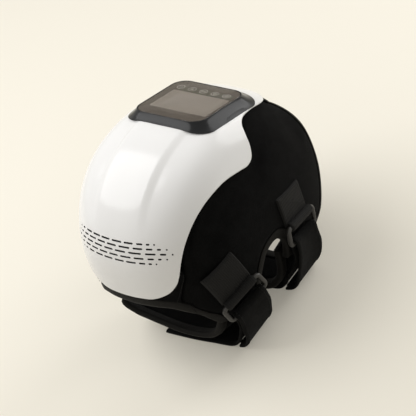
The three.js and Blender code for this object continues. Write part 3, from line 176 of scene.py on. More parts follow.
# Middle lines of the runs under the leg and of the hanging tails, as shares of half_width
strap_runs = {
    "calf": [(-0.3, 0.76, 0.01625), (-0.12, 0.765, 0.01625), (0.1, 0.775, 0.01625), (0.35, 0.8, 0.01625),
             (0.52, 0.815, 0.01625), (0.582, 0.82, 0.024), (0.639, 0.825, 0.0525), (0.689, 0.825, 0.1025),
             (0.729, 0.825, 0.169), (0.8, 0.81, 0.3), (0.895, 0.765, 0.46)],
    "thigh": [(-0.5, 1.64, 0.01625), (-0.3, 1.65, 0.01625), (-0.1, 1.66, 0.01625), (0.1, 1.68, 0.01625),
              (0.3, 1.7, 0.01625), (0.55, 1.73, 0.01625), (0.612, 1.735, 0.024), (0.669, 1.74, 0.0525),
              (0.719, 1.745, 0.1025), (0.76, 1.75, 0.169), (0.855, 1.76, 0.3), (0.955, 1.765, 0.46)],
}
strap_tails = {
    "calf": [(0.985, 0.72, 0.52), (0.92, 0.765, 0.34), (0.85, 0.805, 0.18), (0.79, 0.82, 0.09),
             (0.74, 0.823, 0.052), (0.685, 0.825, 0.034)],
    "thigh": [(1.035, 1.76, 0.52), (0.975, 1.76, 0.34), (0.91, 1.755, 0.18), (0.85, 1.748, 0.09),
              (0.79, 1.742, 0.052), (0.72, 1.74, 0.034)],
}


# Numbers and curves


def to_row(points):
    """Millimetres about the maker's zero, as metres in the frame."""
    return (np.asarray(points, float) + zero) / 1000


def mix(a, b, share):
    """a where share is 0, b where it is 1."""
    return a + (b - a) * share


def smooth(x, low, high):
    """0 below low, 1 above high, 3t^2 - 2t^3 between."""
    t = np.clip((np.asarray(x, float) - low) / (high - low), 0, 1)
    return t * t * (3 - 2 * t)


def unit(v):
    """Vectors scaled to length 1."""
    return v / np.maximum(np.linalg.norm(v, axis=-1, keepdims=True), 1e-12)


def line_length(points):
    """Whole length of each path that runs down the first axis."""
    return np.linalg.norm(np.diff(points, axis=0), axis=-1).sum(0)


def run_along(points):
    """Length of a path up to each of its points."""
    return np.concatenate([[0], np.cumsum(np.linalg.norm(np.diff(points, axis=0), axis=1))])


def along(table, place):
    """Smooth curve through a table of (place, value): Hermite pieces whose slopes average their neighbours'."""
    xs, ys = np.array(table, float).T
    place = np.clip(np.asarray(place, float), xs[0], xs[-1])
    k = np.clip(np.searchsorted(xs, place) - 1, 0, len(xs) - 2)
    slope = np.diff(ys) / np.diff(xs)
    at_node = np.concatenate([slope[:1], (slope[1:] + slope[:-1]) / 2, slope[-1:]])
    span = xs[k + 1] - xs[k]
    t = (place - xs[k]) / span
    rise = t * t * (3 - 2 * t) * (ys[k + 1] - ys[k])
    return ys[k] + rise + t * (1 - t) * ((1 - t) * at_node[k] - t * at_node[k + 1]) * span


def around(table, angle):
    """The same for a table that closes on itself after a full turn."""
    first = table[0][0]
    before = [(p - 360, v) for p, v in table[-2:]]
    after = [(p + 360, v) for p, v in table[:2]]
    return along(before + list(table) + after, np.mod(np.asarray(angle, float) - first, 360) + first)


def solve(rising, target, low=0.0, high=1.0):
    """Value where a rising function of an array reaches its targets, by halving."""
    target = np.asarray(target, float)
    low, high = np.full(target.shape, low), np.full(target.shape, high)
    for _ in range(36):
        middle = (low + high) / 2
        under = rising(middle) < target
        low, high = np.where(under, middle, low), np.where(under, high, middle)
    return (low + high) / 2


def spline(points, places):
    """Centripetal Catmull-Rom curve through points, read at places from 0 to 1."""
    p = np.asarray(points, float)
    p = np.concatenate([2 * p[:1] - p[1:2], p, 2 * p[-1:] - p[-2:-1]])
    spans = len(p) - 3
    x = np.clip(np.asarray(places, float), 0, 1) * spans
    k = np.clip(x.astype(int), 0, spans - 1)
    t = (x - k)[..., None]
    a, b, c, d = p[k], p[k + 1], p[k + 2], p[k + 3]
    step = [np.sqrt(np.linalg.norm(m - n, axis=-1, keepdims=True)) for m, n in ((b, a), (c, b), (d, c))]
    s0, s1, s2 = [np.maximum(s, 1e-4) for s in step]
    out = ((b - a) / s0 - (c - a) / (s0 + s1) + (c - b) / s1) * s1
    back = ((c - b) / s1 - (d - b) / (s1 + s2) + (d - c) / s2) * s1
    return b + t * out + t * t * (3 * (c - b) - 2 * out - back) + t ** 3 * (2 * (b - c) + out + back)


def evenly(points, count, *others):
    """A path resampled at count places that lie evenly along it, with other arrays read at the same places."""
    points = np.asarray(points, float)
    run = run_along(points)
    at = np.linspace(0, run[-1], count)
    read = [np.stack([np.interp(at, run, column) for column in np.asarray(a, float).T], -1) for a in (points, *others)]
    return read[0] if not others else read


def smooth_path(points, count):
    """Spline through points, resampled evenly."""
    return evenly(spline(points, np.linspace(0, 1, 40 * len(points))), count)


def tangents(path, closed=False):
    """Direction of a path at each of its points."""
    if closed:
        return unit(np.roll(path, -1, 0) - np.roll(path, 1, 0))
    return unit(np.gradient(path, axis=0))


def rounded_rectangle(width, length, radius, facets, middle=0.0, between=0):
    """Closed outline of [a, b] places, with the same number of places round every corner and along every side."""
    turn = (np.arange(4)[:, None] + np.linspace(0, 1, facets + 1)) * math.pi / 2
    right, top = np.array([1, -1, -1, 1])[:, None], np.array([1, 1, -1, -1])[:, None]
    a = right * (width / 2 - radius) + radius * np.cos(turn)
    b = middle + top * (length / 2 - radius) + radius * np.sin(turn)
    corners = np.stack([a, b], -1)
    share = np.linspace(0, 1, between + 2)[None, 1:-1, None]
    sides = mix(corners[:, -1:], np.roll(corners, -1, 0)[:, :1], share)
    return np.concatenate([corners, sides], 1).reshape(-1, 2)


# Skin


def skin(angle, sweep, depth=0.0):
    """Point of the skin: angle about the notch axis, sweep from -1 to 1 across, depth below. A superellipse across."""
    angle, sweep = np.broadcast_arrays(np.asarray(angle, float), np.asarray(sweep, float))
    bend = np.abs(sweep) * math.pi / 2
    power = around(squareness, angle)
    reach = (np.sin(bend) ** power + np.cos(bend) ** power) ** (-1 / power)
    across = (half_width * around(width_shares, angle) - depth) * reach * np.sin(bend)
    out = (crown_radius * around(crown_shares, angle) - depth) * reach * np.cos(bend)
    turn = np.radians(angle)
    place = np.stack([np.sign(sweep) * across, out * np.cos(turn), out * np.sin(turn)], -1)
    return place + notch_axis


def sweep_at_x(angle, x, depth=0.0):
    """Sweep at which the skin is x to the side of the centre plane."""
    angle, x = np.broadcast_arrays(np.asarray(angle, float), np.asarray(x, float))
    return np.sign(x) * solve(lambda f: skin(angle, f, depth)[..., 0], np.abs(x))


def crease(angle, x):
    """Depth of the soft step that runs from the display's front corners to the vents."""
    x = np.abs(x)
    step = smooth(x, crease_x - crease_rise, crease_x + crease_rise)
    fade = 1 - smooth(x, crease_x + crease_rise, crease_x + crease_rise + crease_fade)
    return crease_depth * along(crease_shares, angle) * step * fade


def shell_place(angle, sweep, depth=0.0):
    """Skin with the crease pressed into it."""
    return skin(angle, sweep, depth + crease(angle, skin(angle, sweep)[..., 0]))


def normal_of(place, angle, sweep, step=0.05):
    """Outward normal of a place function of angle and sweep."""
    along_angle = place(angle + step, sweep) - place(angle - step, sweep)
    along_sweep = place(angle, sweep + step / 50) - place(angle, sweep - step / 50)
    return unit(np.cross(along_angle, along_sweep))


def skin_beside(y, z, depth):
    """Skin point on the near side, straight out from a place in the centre plane."""
    y, z = y - notch_axis[1], z - notch_axis[2]
    angle, distance = np.degrees(np.arctan2(z, y)), np.hypot(y, z)
    inward = lambda f: -np.linalg.norm((skin(angle, f, depth) - notch_axis)[..., 1:], axis=-1)
    return skin(angle, solve(inward, -distance), depth)


# The display's own axes: across, towards the calf, up off the glass
display_axes = np.array([[1, 0, 0], [0, -math.cos(glass_tilt), math.sin(glass_tilt)],
                         [0, math.sin(glass_tilt), math.cos(glass_tilt)]])
glass_middle = skin(glass_angle, 0.0, -glass_rise)


def on_display(a, b, c=0.0):
    """Point over the glass: a across, b towards the calf, c above its face."""
    return glass_middle + np.stack(np.broadcast_arrays(a, b, c), -1) @ display_axes


# Meshes


def quads(rows, columns, wrap_rows=False, wrap_columns=False):
    """Corner numbers of the quads of a grid; a wrapped direction joins its last line to its first."""
    i = np.arange(rows if wrap_rows else rows - 1)[:, None]
    j = np.arange(columns if wrap_columns else columns - 1)[None, :]
    down, right = (i + 1) % rows, (j + 1) % columns
    corners = np.broadcast_arrays(i * columns + j, i * columns + right, down * columns + right, down * columns + j)
    return np.stack(corners, -1).reshape(-1, 4)


def grid(points, pattern=None, wrap_rows=False, wrap_columns=False):
    """One surface: points (rows, columns, 3) and its pattern coordinates, one line longer where it wraps."""
    rows, columns = points.shape[:2]
    faces = quads(rows, columns, wrap_rows, wrap_columns)
    if pattern is None:
        uv = np.zeros((len(faces), 4, 2))
    else:
        uv = pattern.reshape(-1, 2)[quads(rows + wrap_rows, columns + wrap_columns)]
    return points.reshape(-1, 3), faces, uv


def cap(points):
    """Fan that closes a ring of points at its middle."""
    count = len(points)
    ring = np.arange(count)
    faces = np.stack([ring, (ring + 1) % count, np.full(count, count), np.full(count, count)], -1)
    return np.concatenate([points, points.mean(0, keepdims=True)]), faces, np.zeros((count, 4, 2))


def capped(rows, pattern=None):
    """Rows of rings joined into a tube, with its ends closed."""
    return [grid(rows, pattern, wrap_columns=True), cap(rows[0]), cap(rows[-1])]


def sheet_pattern(points):
    """Pattern coordinates of a grid in millimetres, from the lengths of its middle row and column."""
    rows, columns = points.shape[:2]
    down, across = run_along(points[:, columns // 2]), run_along(points[rows // 2])
    return np.stack(np.broadcast_arrays(across[None, :], down[:, None]), -1)


def swept_pattern(section, run):
    """Pattern coordinates of a closed section carried along a path: round the section and along the run."""
    girth = run_along(np.concatenate([section, section[:1]]))
    return np.stack(np.broadcast_arrays(girth[None, :], run[:, None]), -1)


def piece(name, parts, finish, body="massager", replaces=(), sharp=35, ride=True):
    """One closed mesh of several surfaces in millimetres, with its doubles merged and its faces outwards."""
    points, faces, uvs, start = [], [], [], 0
    for part_points, part_faces, part_uv in parts:
        points.append(part_points)
        faces.append(part_faces + start)
        uvs.append(part_uv)
        start += len(part_points)
    points, faces, uvs = np.concatenate(points), np.concatenate(faces), np.concatenate(uvs)
    mesh = bpy.data.meshes.new(name)
    triangle = faces[:, 2] == faces[:, 3]
    sizes = np.where(triangle, 3, 4)
    keep = np.ones(faces.shape, bool)
    keep[triangle, 3] = False
    mesh.vertices.add(len(points))
    mesh.vertices.foreach_set("co", to_row(points).astype(np.float32).ravel())
    mesh.loops.add(int(sizes.sum()))
    mesh.loops.foreach_set("vertex_index", faces[keep].astype(np.int32))
    mesh.polygons.add(len(faces))
    mesh.polygons.foreach_set("loop_start", (np.cumsum(sizes) - sizes).astype(np.int32))
    layer = mesh.uv_layers.new(name="pattern")
    layer.data.foreach_set("uv", (uvs[keep] / 1000).astype(np.float32).ravel())
    mesh.update(calc_edges=True)
    work = bmesh.new()
    work.from_mesh(mesh)
    bmesh.ops.remove_doubles(work, verts=work.verts, dist=2e-6)
    bmesh.ops.dissolve_degenerate(work, edges=work.edges, dist=1e-7)
    bmesh.ops.recalc_face_normals(work, faces=work.faces)
    work.to_mesh(mesh)
    work.free()
    mesh.shade_smooth()
    mesh.set_sharp_from_angle(angle=math.radians(sharp))
    mesh.materials.append(finish)
    made = bpy.data.objects.new(name, mesh)
    bpy.context.scene.collection.objects.link(made)
    if replaces:
        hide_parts(*replaces)
    if ride:
        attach(made, body)
    return made


def closed_sweep(path, across, up, section):
    """A closed section of [a, b] places carried round a closed path: a along across, b along up."""
    points = path[:, None] + across[:, None] * section[None, :, :1] + up[:, None] * section[None, :, 1:]
    run = run_along(np.concatenate([path, path[:1]]))
    return [grid(points, swept_pattern(section, run), wrap_rows=True, wrap_columns=True)]


def stitches(path, up, pitch=2.9, length=2.1, radius=0.24):
    """Row of thread stitches along a path: short round beads that dip into the fabric at both ends."""
    count = max(1, int(line_length(path) / pitch))
    middles, ups = evenly(path, 2 * count + 1, up)
    middles, run, ups = middles[1::2], tangents(middles)[1::2], unit(ups[1::2])
    side = unit(np.cross(ups, run))
    ups = np.cross(run, side)
    # A bead's rings as (place along it, radius, height)
    rings = np.array([(-0.5, 0.25, -0.9), (-0.36, 0.85, -0.1), (0, 1, 0.25), (0.36, 0.85, -0.1), (0.5, 0.25, -0.9)])
    rows, sides = len(rings), 6
    turn = np.linspace(0, 2 * math.pi, sides, endpoint=False)
    forth, wide = rings[:, 0, None] * length, radius * rings[:, 1, None] * np.cos(turn)
    high = radius * (rings[:, 1, None] * np.sin(turn) + rings[:, 2, None])
    place = (middles[:, None, None] + run[:, None, None] * forth[None, :, :, None]
             + side[:, None, None] * wide[None, :, :, None] + ups[:, None, None] * high[None, :, :, None])
    end = np.array([[0, 1, 2, 3], [0, 3, 4, 5]])
    bead = np.concatenate([quads(rows, sides, wrap_columns=True), end, end + (rows - 1) * sides])
    faces = (bead[None] + rows * sides * np.arange(count)[:, None, None]).reshape(-1, 4)
    return place.reshape(-1, 3), faces, np.zeros((len(faces), 4, 2))


# Finishes


class Socket:
    """A shader value that takes part in arithmetic: each operator adds its Math node."""

    def __init__(self, nodes, output):
        self.nodes, self.output = nodes, output

    def _with(self, operation, *values):
        return self.nodes.add("ShaderNodeMath", {"operation": operation}, dict(enumerate(values)))

    def __add__(self, other):
        return self._with("ADD", self, other)

    def __mul__(self, other):
        return self._with("MULTIPLY", self, other)

    __radd__, __rmul__ = __add__, __mul__

    def larger(self, other):
        return self._with("MAXIMUM", self, other)

    def sine(self):
        return self._with("SINE", self)

    def between(self, low, high):
        """Smooth step from 0 at low to 1 at high."""
        return self.nodes.add("ShaderNodeMapRange", {"interpolation_type": "SMOOTHSTEP"},
                              {"Value": self, "From Min": low, "From Max": high})


class Nodes:
    """A node tree to which nodes are added one call at a time."""

    def __init__(self, tree):
        self.tree = tree

    def add(self, kind, settings, values, output=0):
        """One node: its settings first, then the value or link of each socket named."""
        node = self.tree.nodes.new(kind)
        for key, value in settings.items():
            setattr(node, key, value)
        for key, value in values.items():
            self.put(node.inputs[key], value)
        return Socket(self, node.outputs[output])

    def put(self, socket, value):
        """Links a socket to a value that is computed, or sets it to a plain one."""
        if isinstance(value, Socket):
            self.tree.links.new(value.output, socket)
        else:
            socket.default_value = value

    def seen_ray(self):
        """1 where the surface is seen straight, in a mirror or through something clear, otherwise 0."""
        straight, mirrored, through = (self.add("ShaderNodeLightPath", {}, {}, f"Is {kind} Ray")
                                       for kind in ("Camera", "Glossy", "Transmission"))
        return straight.larger(mirrored).larger(through)


class Finish(Nodes):
    """A material whose surface is one Principled shader, with constants set on its own sockets."""

    def __init__(self, name, **constants):
        self.material = bpy.data.materials.new(name)
        self.material.use_nodes = True
        super().__init__(self.material.node_tree)
        self.shader = self.tree.nodes["Principled BSDF"]
        for socket, value in constants.items():
            self.shader.inputs[socket.replace("_", " ")].default_value = value

    def link(self, socket, value):
        self.put(self.shader.inputs[socket], value)

    def place(self):
        """Object coordinates in metres."""
        return self.add("ShaderNodeTexCoord", {}, {}, "Object")

    def pattern(self):
        """The piece's own pattern coordinates, in metres along its surface."""
        return self.add("ShaderNodeUVMap", {"uv_map": "pattern"}, {})

    def axis(self, vector, index):
        return self.add("ShaderNodeSeparateXYZ", {}, {0: vector}, index)

    def noise(self, vector, scale, detail=2.0, roughness=0.5):
        return self.add("ShaderNodeTexNoise", {}, {"Vector": vector, "Scale": scale, "Detail": detail,
                                                   "Roughness": roughness})

    def cells(self, vector, scale, randomness=1.0):
        return self.add("ShaderNodeTexVoronoi", {}, {"Vector": vector, "Scale": scale, "Randomness": randomness})

    def blend(self, share, a, b):
        """Colour a where share is 0, b where it is 1."""
        value = lambda c: c if isinstance(c, Socket) else (*c, 1.0)
        return self.add("ShaderNodeMix", {"data_type": "RGBA"}, {0: share, 6: value(a), 7: value(b)}, 2)

    def bump(self, height, strength, distance, onto=None):
        values = {"Height": height, "Strength": strength, "Distance": distance}
        if onto is not None:
            values["Normal"] = onto
        return self.add("ShaderNodeBump", {}, values)


def gloss_plastic(name, color, roughness, mottling=0.03, relief=0.00002, specular=0.42):
    """Moulded gloss plastic: faint unevenness from the mould and a slightly uneven gloss."""
    f = Finish(name, Roughness=roughness, Specular_IOR_Level=specular)
    cloud = f.noise(f.place(), 55, 3)
    f.link("Base Color", f.blend(cloud, [c * (1 - mottling) for c in color], color))
    f.link("Roughness", f.noise(f.place(), 240, 2) * (roughness * 0.5) + roughness * 0.75)
    f.link("Normal", f.bump(f.noise(f.place(), 90, 1), 0.25, relief))
    return f.material


def satin_plastic(name, color, roughness=0.42):
    """Moulded satin plastic: spark-eroded grain, with edges polished by use."""
    f = Finish(name, Roughness=roughness)
    grain = f.noise(f.place(), 2600, 2)
    wear = f.noise(f.place(), 130, 3).between(0.45, 0.7)
    f.link("Base Color", f.blend(wear, color, [c * 1.35 for c in color]))
    f.link("Roughness", grain * 0.14 + wear * -0.06 + (roughness - 0.05))
    f.link("Normal", f.bump(grain, 0.35, 0.00008))
    return f.material


def plush_fabric(name, color):
    """Short plush: fine pile that catches light in soft patches, with lint-fine flecks."""
    f = Finish(name, Roughness=0.95, Sheen_Weight=0.018, Sheen_Roughness=0.4, Specular_IOR_Level=0.05)
    pile = f.noise(f.place(), 1500, 3, 0.62)
    nap = f.noise(f.place(), 105, 4, 0.6)
    tone = pile.between(0.32, 0.72)
    deep = f.blend(tone, [c * 0.55 for c in color], [c * 1.5 for c in color])
    f.link("Base Color", f.blend(nap.between(0.35, 0.72) * 0.5, deep, [c * 2.0 for c in color]))
    relief = f.bump(nap, 0.5, 0.0006)
    f.link("Normal", f.bump(pile, 0.9, 0.00055, relief))
    return f.material


def binding_tape(name, color):
    """Smooth edge tape: tight cross ribs with a satin face, along the pattern's length."""
    f = Finish(name, Roughness=0.6, Sheen_Weight=0.012, Sheen_Roughness=0.35, Specular_IOR_Level=0.1)
    run = f.axis(f.pattern(), 1)
    ribs = (run * (2 * math.pi / 0.0009)).sine() * 0.5 + 0.5
    uneven = f.noise(f.pattern(), 500, 3)
    f.link("Base Color", f.blend(ribs * 0.45 + uneven * 0.4, [c * 0.6 for c in color], [c * 1.35 for c in color]))
    f.link("Roughness", uneven * 0.25 + 0.48)
    f.link("Normal", f.bump(ribs * 0.7 + uneven * 0.5, 0.55, 0.00022))
    return f.material


def ribbed_webbing(name, color):
    """Woven webbing: ribs along its length crossed by fine picks."""
    f = Finish(name, Roughness=0.72, Sheen_Weight=0.018, Specular_IOR_Level=0.13)
    across, run = f.axis(f.pattern(), 0), f.axis(f.pattern(), 1)
    ribs = (across * (2 * math.pi / 0.0019)).sine() * 0.5 + 0.5
    picks = (run * (2 * math.pi / 0.0011) + ribs * 1.6).sine() * 0.5 + 0.5
    weave = ribs * 0.6 + picks * 0.4
    worn = f.noise(f.pattern(), 260, 3)
    f.link("Base Color", f.blend(weave * 0.8 + worn * 0.2, [c * 0.5 for c in color], [c * 1.6 for c in color]))
    f.link("Normal", f.bump(weave + worn * 0.3, 0.8, 0.0004))
    return f.material


def thread(name, color):
    """Twisted sewing thread."""
    f = Finish(name, Roughness=0.7, Sheen_Weight=0.02, Specular_IOR_Level=0.15)
    twist = f.noise(f.place(), 2200, 1)
    f.link("Base Color", f.blend(twist, [c * 0.7 for c in color], [c * 1.3 for c in color]))
    return f.material


shell_white = gloss_plastic("shell_white", (0.85, 0.848, 0.85), 0.16, 0.012)
bezel_black = gloss_plastic("bezel_black", (0.009, 0.0098, 0.0115), 0.22, specular=0.22)
plush_black = plush_fabric("plush_black", (0.0032, 0.0032, 0.0032))
tape_black = binding_tape("tape_black", (0.0068, 0.0063, 0.0056))
webbing_black = ribbed_webbing("webbing_black", (0.008, 0.0078, 0.0075))
strap_black = plush_fabric("strap_black", (0.0068, 0.0068, 0.0067))
thread_black = thread("thread_black", (0.0125, 0.012, 0.0115))
ring_plastic = satin_plastic("ring_plastic", (0.02, 0.0185, 0.017))
cradle_black = satin_plastic("cradle_black", (0.012, 0.012, 0.012), 0.55)
# Walls of the cut openings: near-black painted shade in place of the shade that falls inside the vent slots, on walls
# cut from the white shell
painted_vent_shade = satin_plastic("painted_vent_shade", (0.006, 0.006, 0.006), 0.7)


def smoked_glass():
    """Smoked cover glass: brown-grey and half clear, with a faint haze of fingerprints."""
    f = Finish("smoked_glass", Base_Color=(0.155, 0.127, 0.102, 1), Roughness=0.07, Alpha=0.4, IOR=1.45)
    smear = f.noise(f.place(), 60, 4, 0.6)
    f.link("Roughness", smear.between(0.4, 0.75) * 0.05 + 0.055)
    f.material.blend_method = "BLEND"
    return f.material


def lcd_face():
    """Unlit liquid crystal panel: grey-brown, a little lighter in the middle, with a fine pixel pitch."""
    f = Finish("lcd_face", Roughness=0.3)
    cloud = f.noise(f.place(), 25, 2)
    dots = f.cells(f.place(), 2500, 0.0)
    f.link("Base Color", f.blend(cloud * 0.8 + dots * 0.3, (0.72, 0.66, 0.58), (0.9, 0.83, 0.74)))
    return f.material


def printed_mark():
    """Pale screen print on the back of the glass."""
    f = Finish("printed_mark", Roughness=0.5)
    f.link("Base Color", f.blend(f.noise(f.place(), 900, 1), (0.5, 0.47, 0.43), (0.62, 0.59, 0.55)))
    return f.material


glass_smoke, lcd_panel, print_pale = smoked_glass(), lcd_face(), printed_mark()


# Shell


def border_curve(count):
    """The border as (angle, x), evenly spaced along the developed skin, all the way round, starting at the front."""
    stretch, half_dense = math.radians(crown_radius), 3000
    side = np.array([(a * stretch, x) for a, x in shell_border])
    whole = np.concatenate([side, side[-2:0:-1] * (1, -1)])
    looped = np.concatenate([whole[-3:], whole, whole[:4]])
    dense = spline(looped, np.linspace(0, 1, 2 * half_dense))
    first = np.argmin(np.linalg.norm(dense[:half_dense] - whole[0], axis=1))
    last = half_dense + np.argmin(np.linalg.norm(dense[half_dense:] - whole[0], axis=1))
    loop = evenly(dense[first:last + 1], count + 1)[:-1]
    run = tangents(loop, closed=True)
    inward = np.stack([-run[:, 1], run[:, 0]], -1)
    middle = loop.mean(0)
    inward *= np.sign(((middle - loop) * inward).sum(1).mean())
    inset = loop + inward * shell_wall / 2
    return inset[:, 0] / stretch, inset[:, 1]


def outer_shell():
    """Dome from its middle out to the border, a half-round rim, and the inner face back to the middle."""
    count, rows, inner_rows, middle, crowding = 420, 110, 40, 100.0, 0.9
    angle, x = border_curve(count)
    sweep = sweep_at_x(angle, x)
    spokes = np.linspace(0, 1, rows)[:, None] ** crowding
    angles, sweeps = mix(middle, angle, spokes), sweep * spokes
    face = shell_place(angles, sweeps)
    lip = face[-1]
    up = normal_of(shell_place, angle, sweep)
    out = unit(np.cross(tangents(lip, closed=True), up))
    out *= np.sign((out * (lip - lip.mean(0))).sum(1).mean())
    turn = np.linspace(0, math.pi, 11)[1:-1, None, None]
    half = shell_wall / 2
    rim = lip - half * up * (1 - np.cos(turn)) + half * out * np.sin(turn)
    spokes = np.linspace(1, 0, inner_rows)[:, None] ** crowding
    inner_angles, inner_sweeps = mix(middle, angle, spokes), sweep * spokes
    lining = shell_place(inner_angles, inner_sweeps)
    lining -= shell_wall * normal_of(shell_place, inner_angles, inner_sweeps)
    surface = grid(np.concatenate([face, rim, lining]), wrap_columns=True)
    made = piece("shell", [surface], shell_white, replaces=["outer_shell"], sharp=60)
    cutter = piece("shell_cutter", vent_cutters() + display_cutter() + socket_cutter(), shell_white)
    cut_shell(made, cutter)


def skin_prism(origin, across, forward, up, outline, low, high):
    """Outline of [a, b] places at a point of the skin, carried from low to high along the normal there."""
    flat = origin + outline[:, :1] * across + outline[:, 1:] * forward
    return capped(np.stack([flat + up * low, flat + up * high]))


def vent_cutters():
    """Prisms of all the slots, row by row."""
    prisms = []
    for middle, bow, slots in vent_rows:
        for x, length in slots:
            prisms += slot_prism(middle, bow / bow_x ** 2, x, length)
    return prisms


def slot_prism(middle, bow, x, length):
    """Round-ended slot along its row's own curve, angle = middle - bow x^2, standing square to the skin."""
    xs = x + np.array([-1.0, 0, 1])
    angles = middle - bow * xs ** 2
    sweeps = sweep_at_x(angles, xs)
    before, origin, after = shell_place(angles, sweeps)
    up = normal_of(shell_place, angles[1], sweeps[1])
    across = unit(after - before)
    forward = np.cross(up, across)
    radius = vent_width / 2
    turn = np.linspace(-math.pi / 2, math.pi / 2, 7)
    end = np.stack([(length / 2 - radius) + radius * np.cos(turn), radius * np.sin(turn)], -1)
    return skin_prism(origin, across, forward, up, np.concatenate([end, -end]), low=-(shell_wall + 2.5), high=2)


def display_cutter():
    """Opening under the display, square to its glass."""
    width, length, corner, middle = shell_opening
    outline, low, high = rounded_rectangle(width, length, corner, 6, middle), -24, 4
    return capped(np.stack([on_display(*outline.T, c) for c in (low, high)]))


def socket_cutter():
    """Hole over the charging socket behind the display."""
    angle, x = socket_site
    sweep = float(sweep_at_x(angle, x))
    origin, up = skin(angle, sweep), normal_of(skin, angle, sweep)
    forward = unit(skin(angle + 0.5, sweep) - skin(angle - 0.5, sweep))
    outline = rounded_rectangle(*socket_hole, 6)
    return skin_prism(origin, np.cross(up, forward), forward, up, outline, low=-4, high=4)


def cut_shell(made, cutter):
    """Cuts the openings and gives the dome the skin's own normals, so that its gloss runs smoothly past them."""
    # The cut walls of the vents, the display opening and the socket hole take the near-black painted shade, not the
    # shell's white
    made.data.materials.append(painted_vent_shade)
    cutter.data.materials[0] = painted_vent_shade
    modifier = made.modifiers.new("openings", "BOOLEAN")
    modifier.operation, modifier.object, modifier.solver = "DIFFERENCE", cutter, "EXACT"
    modifier.material_mode = "TRANSFER"
    graph = bpy.context.evaluated_depsgraph_get()
    mesh = bpy.data.meshes.new_from_object(made.evaluated_get(graph))
    made.modifiers.clear()
    made.data = mesh
    bpy.data.objects.remove(cutter)
    corners = np.zeros(len(mesh.loops), np.int32)
    mesh.loops.foreach_get("vertex_index", corners)
    places = np.zeros(len(mesh.vertices) * 3)
    mesh.vertices.foreach_get("co", places)
    places = places.reshape(-1, 3) * 1000 - zero
    rel = places - notch_axis
    angle = np.degrees(np.arctan2(rel[:, 2], rel[:, 1]))
    sweep = sweep_at_x(angle, places[:, 0])
    true_up = normal_of(shell_place, angle, sweep)
    depth = ((shell_place(angle, sweep) - places) * true_up).sum(1)
    count = len(mesh.polygons)
    sizes, slots, flat = np.zeros(count, np.int32), np.zeros(count, np.int32), np.zeros(count * 3)
    mesh.polygons.foreach_get("loop_total", sizes)
    mesh.polygons.foreach_get("material_index", slots)
    mesh.polygons.foreach_get("normal", flat)
    face_of = np.repeat(np.arange(count), sizes)
    face_up = flat.reshape(-1, 3)[face_of]
    wall = slots[face_of] > 0
    weight = np.zeros((len(places), 3))
    np.add.at(weight, corners[~wall], face_up[~wall])
    shade = unit(weight)[corners]
    # Corners of the dome's own face lie near the skin and face its way
    near, level = 0.05, 0.9
    on_dome = (np.abs(depth[corners]) < near) & ((face_up * true_up[corners]).sum(1) > level)
    shade[on_dome] = true_up[corners][on_dome]
    shade[wall] = face_up[wall]
    mesh.normals_split_custom_set(shade.tolist())


outer_shell()


# Display


def skirt_drop(a, b):
    """How far the skin lies below the glass's face at a place beside it, by halving along the display's up."""
    deepest = 24.0

    def below(c):
        p = on_display(a, b, -c) - notch_axis
        angle = np.degrees(np.arctan2(p[..., 2], p[..., 1]))
        out = np.linalg.norm(p[..., 1:], axis=-1)
        sweep = sweep_at_x(angle, p[..., 0])
        return np.linalg.norm((skin(angle, sweep) - notch_axis)[..., 1:], axis=-1) - out

    return solve(below, np.zeros(np.shape(a)), 1.0, deepest)


def display_bezel():
    """Flared skirt from a narrow rim round the glass down to the shell, with a ledge inside that carries the glass."""
    facets, between = 16, 18
    rim_round, sunk, above_skin, ledge_floor = 0.35, 0.15, 0.3, glass_wall + 1.2

    def ring(out, radius, middle=0.0):
        width, length = (size + 2 * more for size, more in zip(glass_size, out))
        return rounded_rectangle(width, length, radius, facets, middle, between)

    edge = rim_wall + fit_gap
    top = ring((edge, edge), glass_corner + rim_wall)
    foot = ring(np.add(edge, skirt_flare), glass_corner + rim_wall + skirt_flare[1] / 4, -skirt_shift)
    share = (foot - (0, -skirt_shift)) / np.abs(foot - (0, -skirt_shift)).max(0)
    foot += skirt_bow * share * (1 - share[:, ::-1] ** 2)
    recess = ring((fit_gap, fit_gap), glass_corner + fit_gap)
    window = rounded_rectangle(*lcd_window[:2], 1.0, facets, lcd_window[2], between)
    ledge = mix(recess, window, 0.3)
    drop = skirt_drop(*foot.T) - sunk
    rows = [on_display(*recess.T, -glass_wall - 0.1), on_display(*recess.T, -above_skin)]
    for turn in np.linspace(0, math.pi / 2, 6):
        share = 0.2 + 0.8 * math.sin(turn)
        rows.append(on_display(*mix(recess, top, share).T, -rim_round + rim_round * math.cos(turn)))
    for down in np.linspace(0, 1, 24)[1:] ** 0.85:
        out = along(skirt_shares, down)
        rows.append(on_display(*mix(top, foot, out).T, -rim_round - (drop - rim_round) * down))
    for inner in (mix(foot, top, 0.35), mix(foot, top, 0.85), recess):
        rows.append(on_display(*inner.T, -(skirt_drop(*inner.T) - above_skin)))
    rows.append(on_display(*ledge.T, -np.minimum(ledge_floor, skirt_drop(*ledge.T) - above_skin)))
    rows += [on_display(*window.T, -ledge_floor), on_display(*window.T, -glass_wall - 0.3)]
    piece("bezel", [grid(np.stack(rows), wrap_rows=True, wrap_columns=True)], bezel_black,
          replaces=["display_bezel"], sharp=50)


def display_glass():
    """Flat cover with a ground edge."""
    width, length = glass_size
    profile = [(0.35, -glass_wall), (0, -glass_wall + 0.3), (0, -0.45), (0.12, -0.15), (0.4, 0)]
    rows = [on_display(*rounded_rectangle(width - 2 * inset, length - 2 * inset, glass_corner - inset, 20).T, height)
            for inset, height in profile]
    piece("cover_glass", capped(np.stack(rows)), glass_smoke, replaces=["display_glass"], sharp=50)


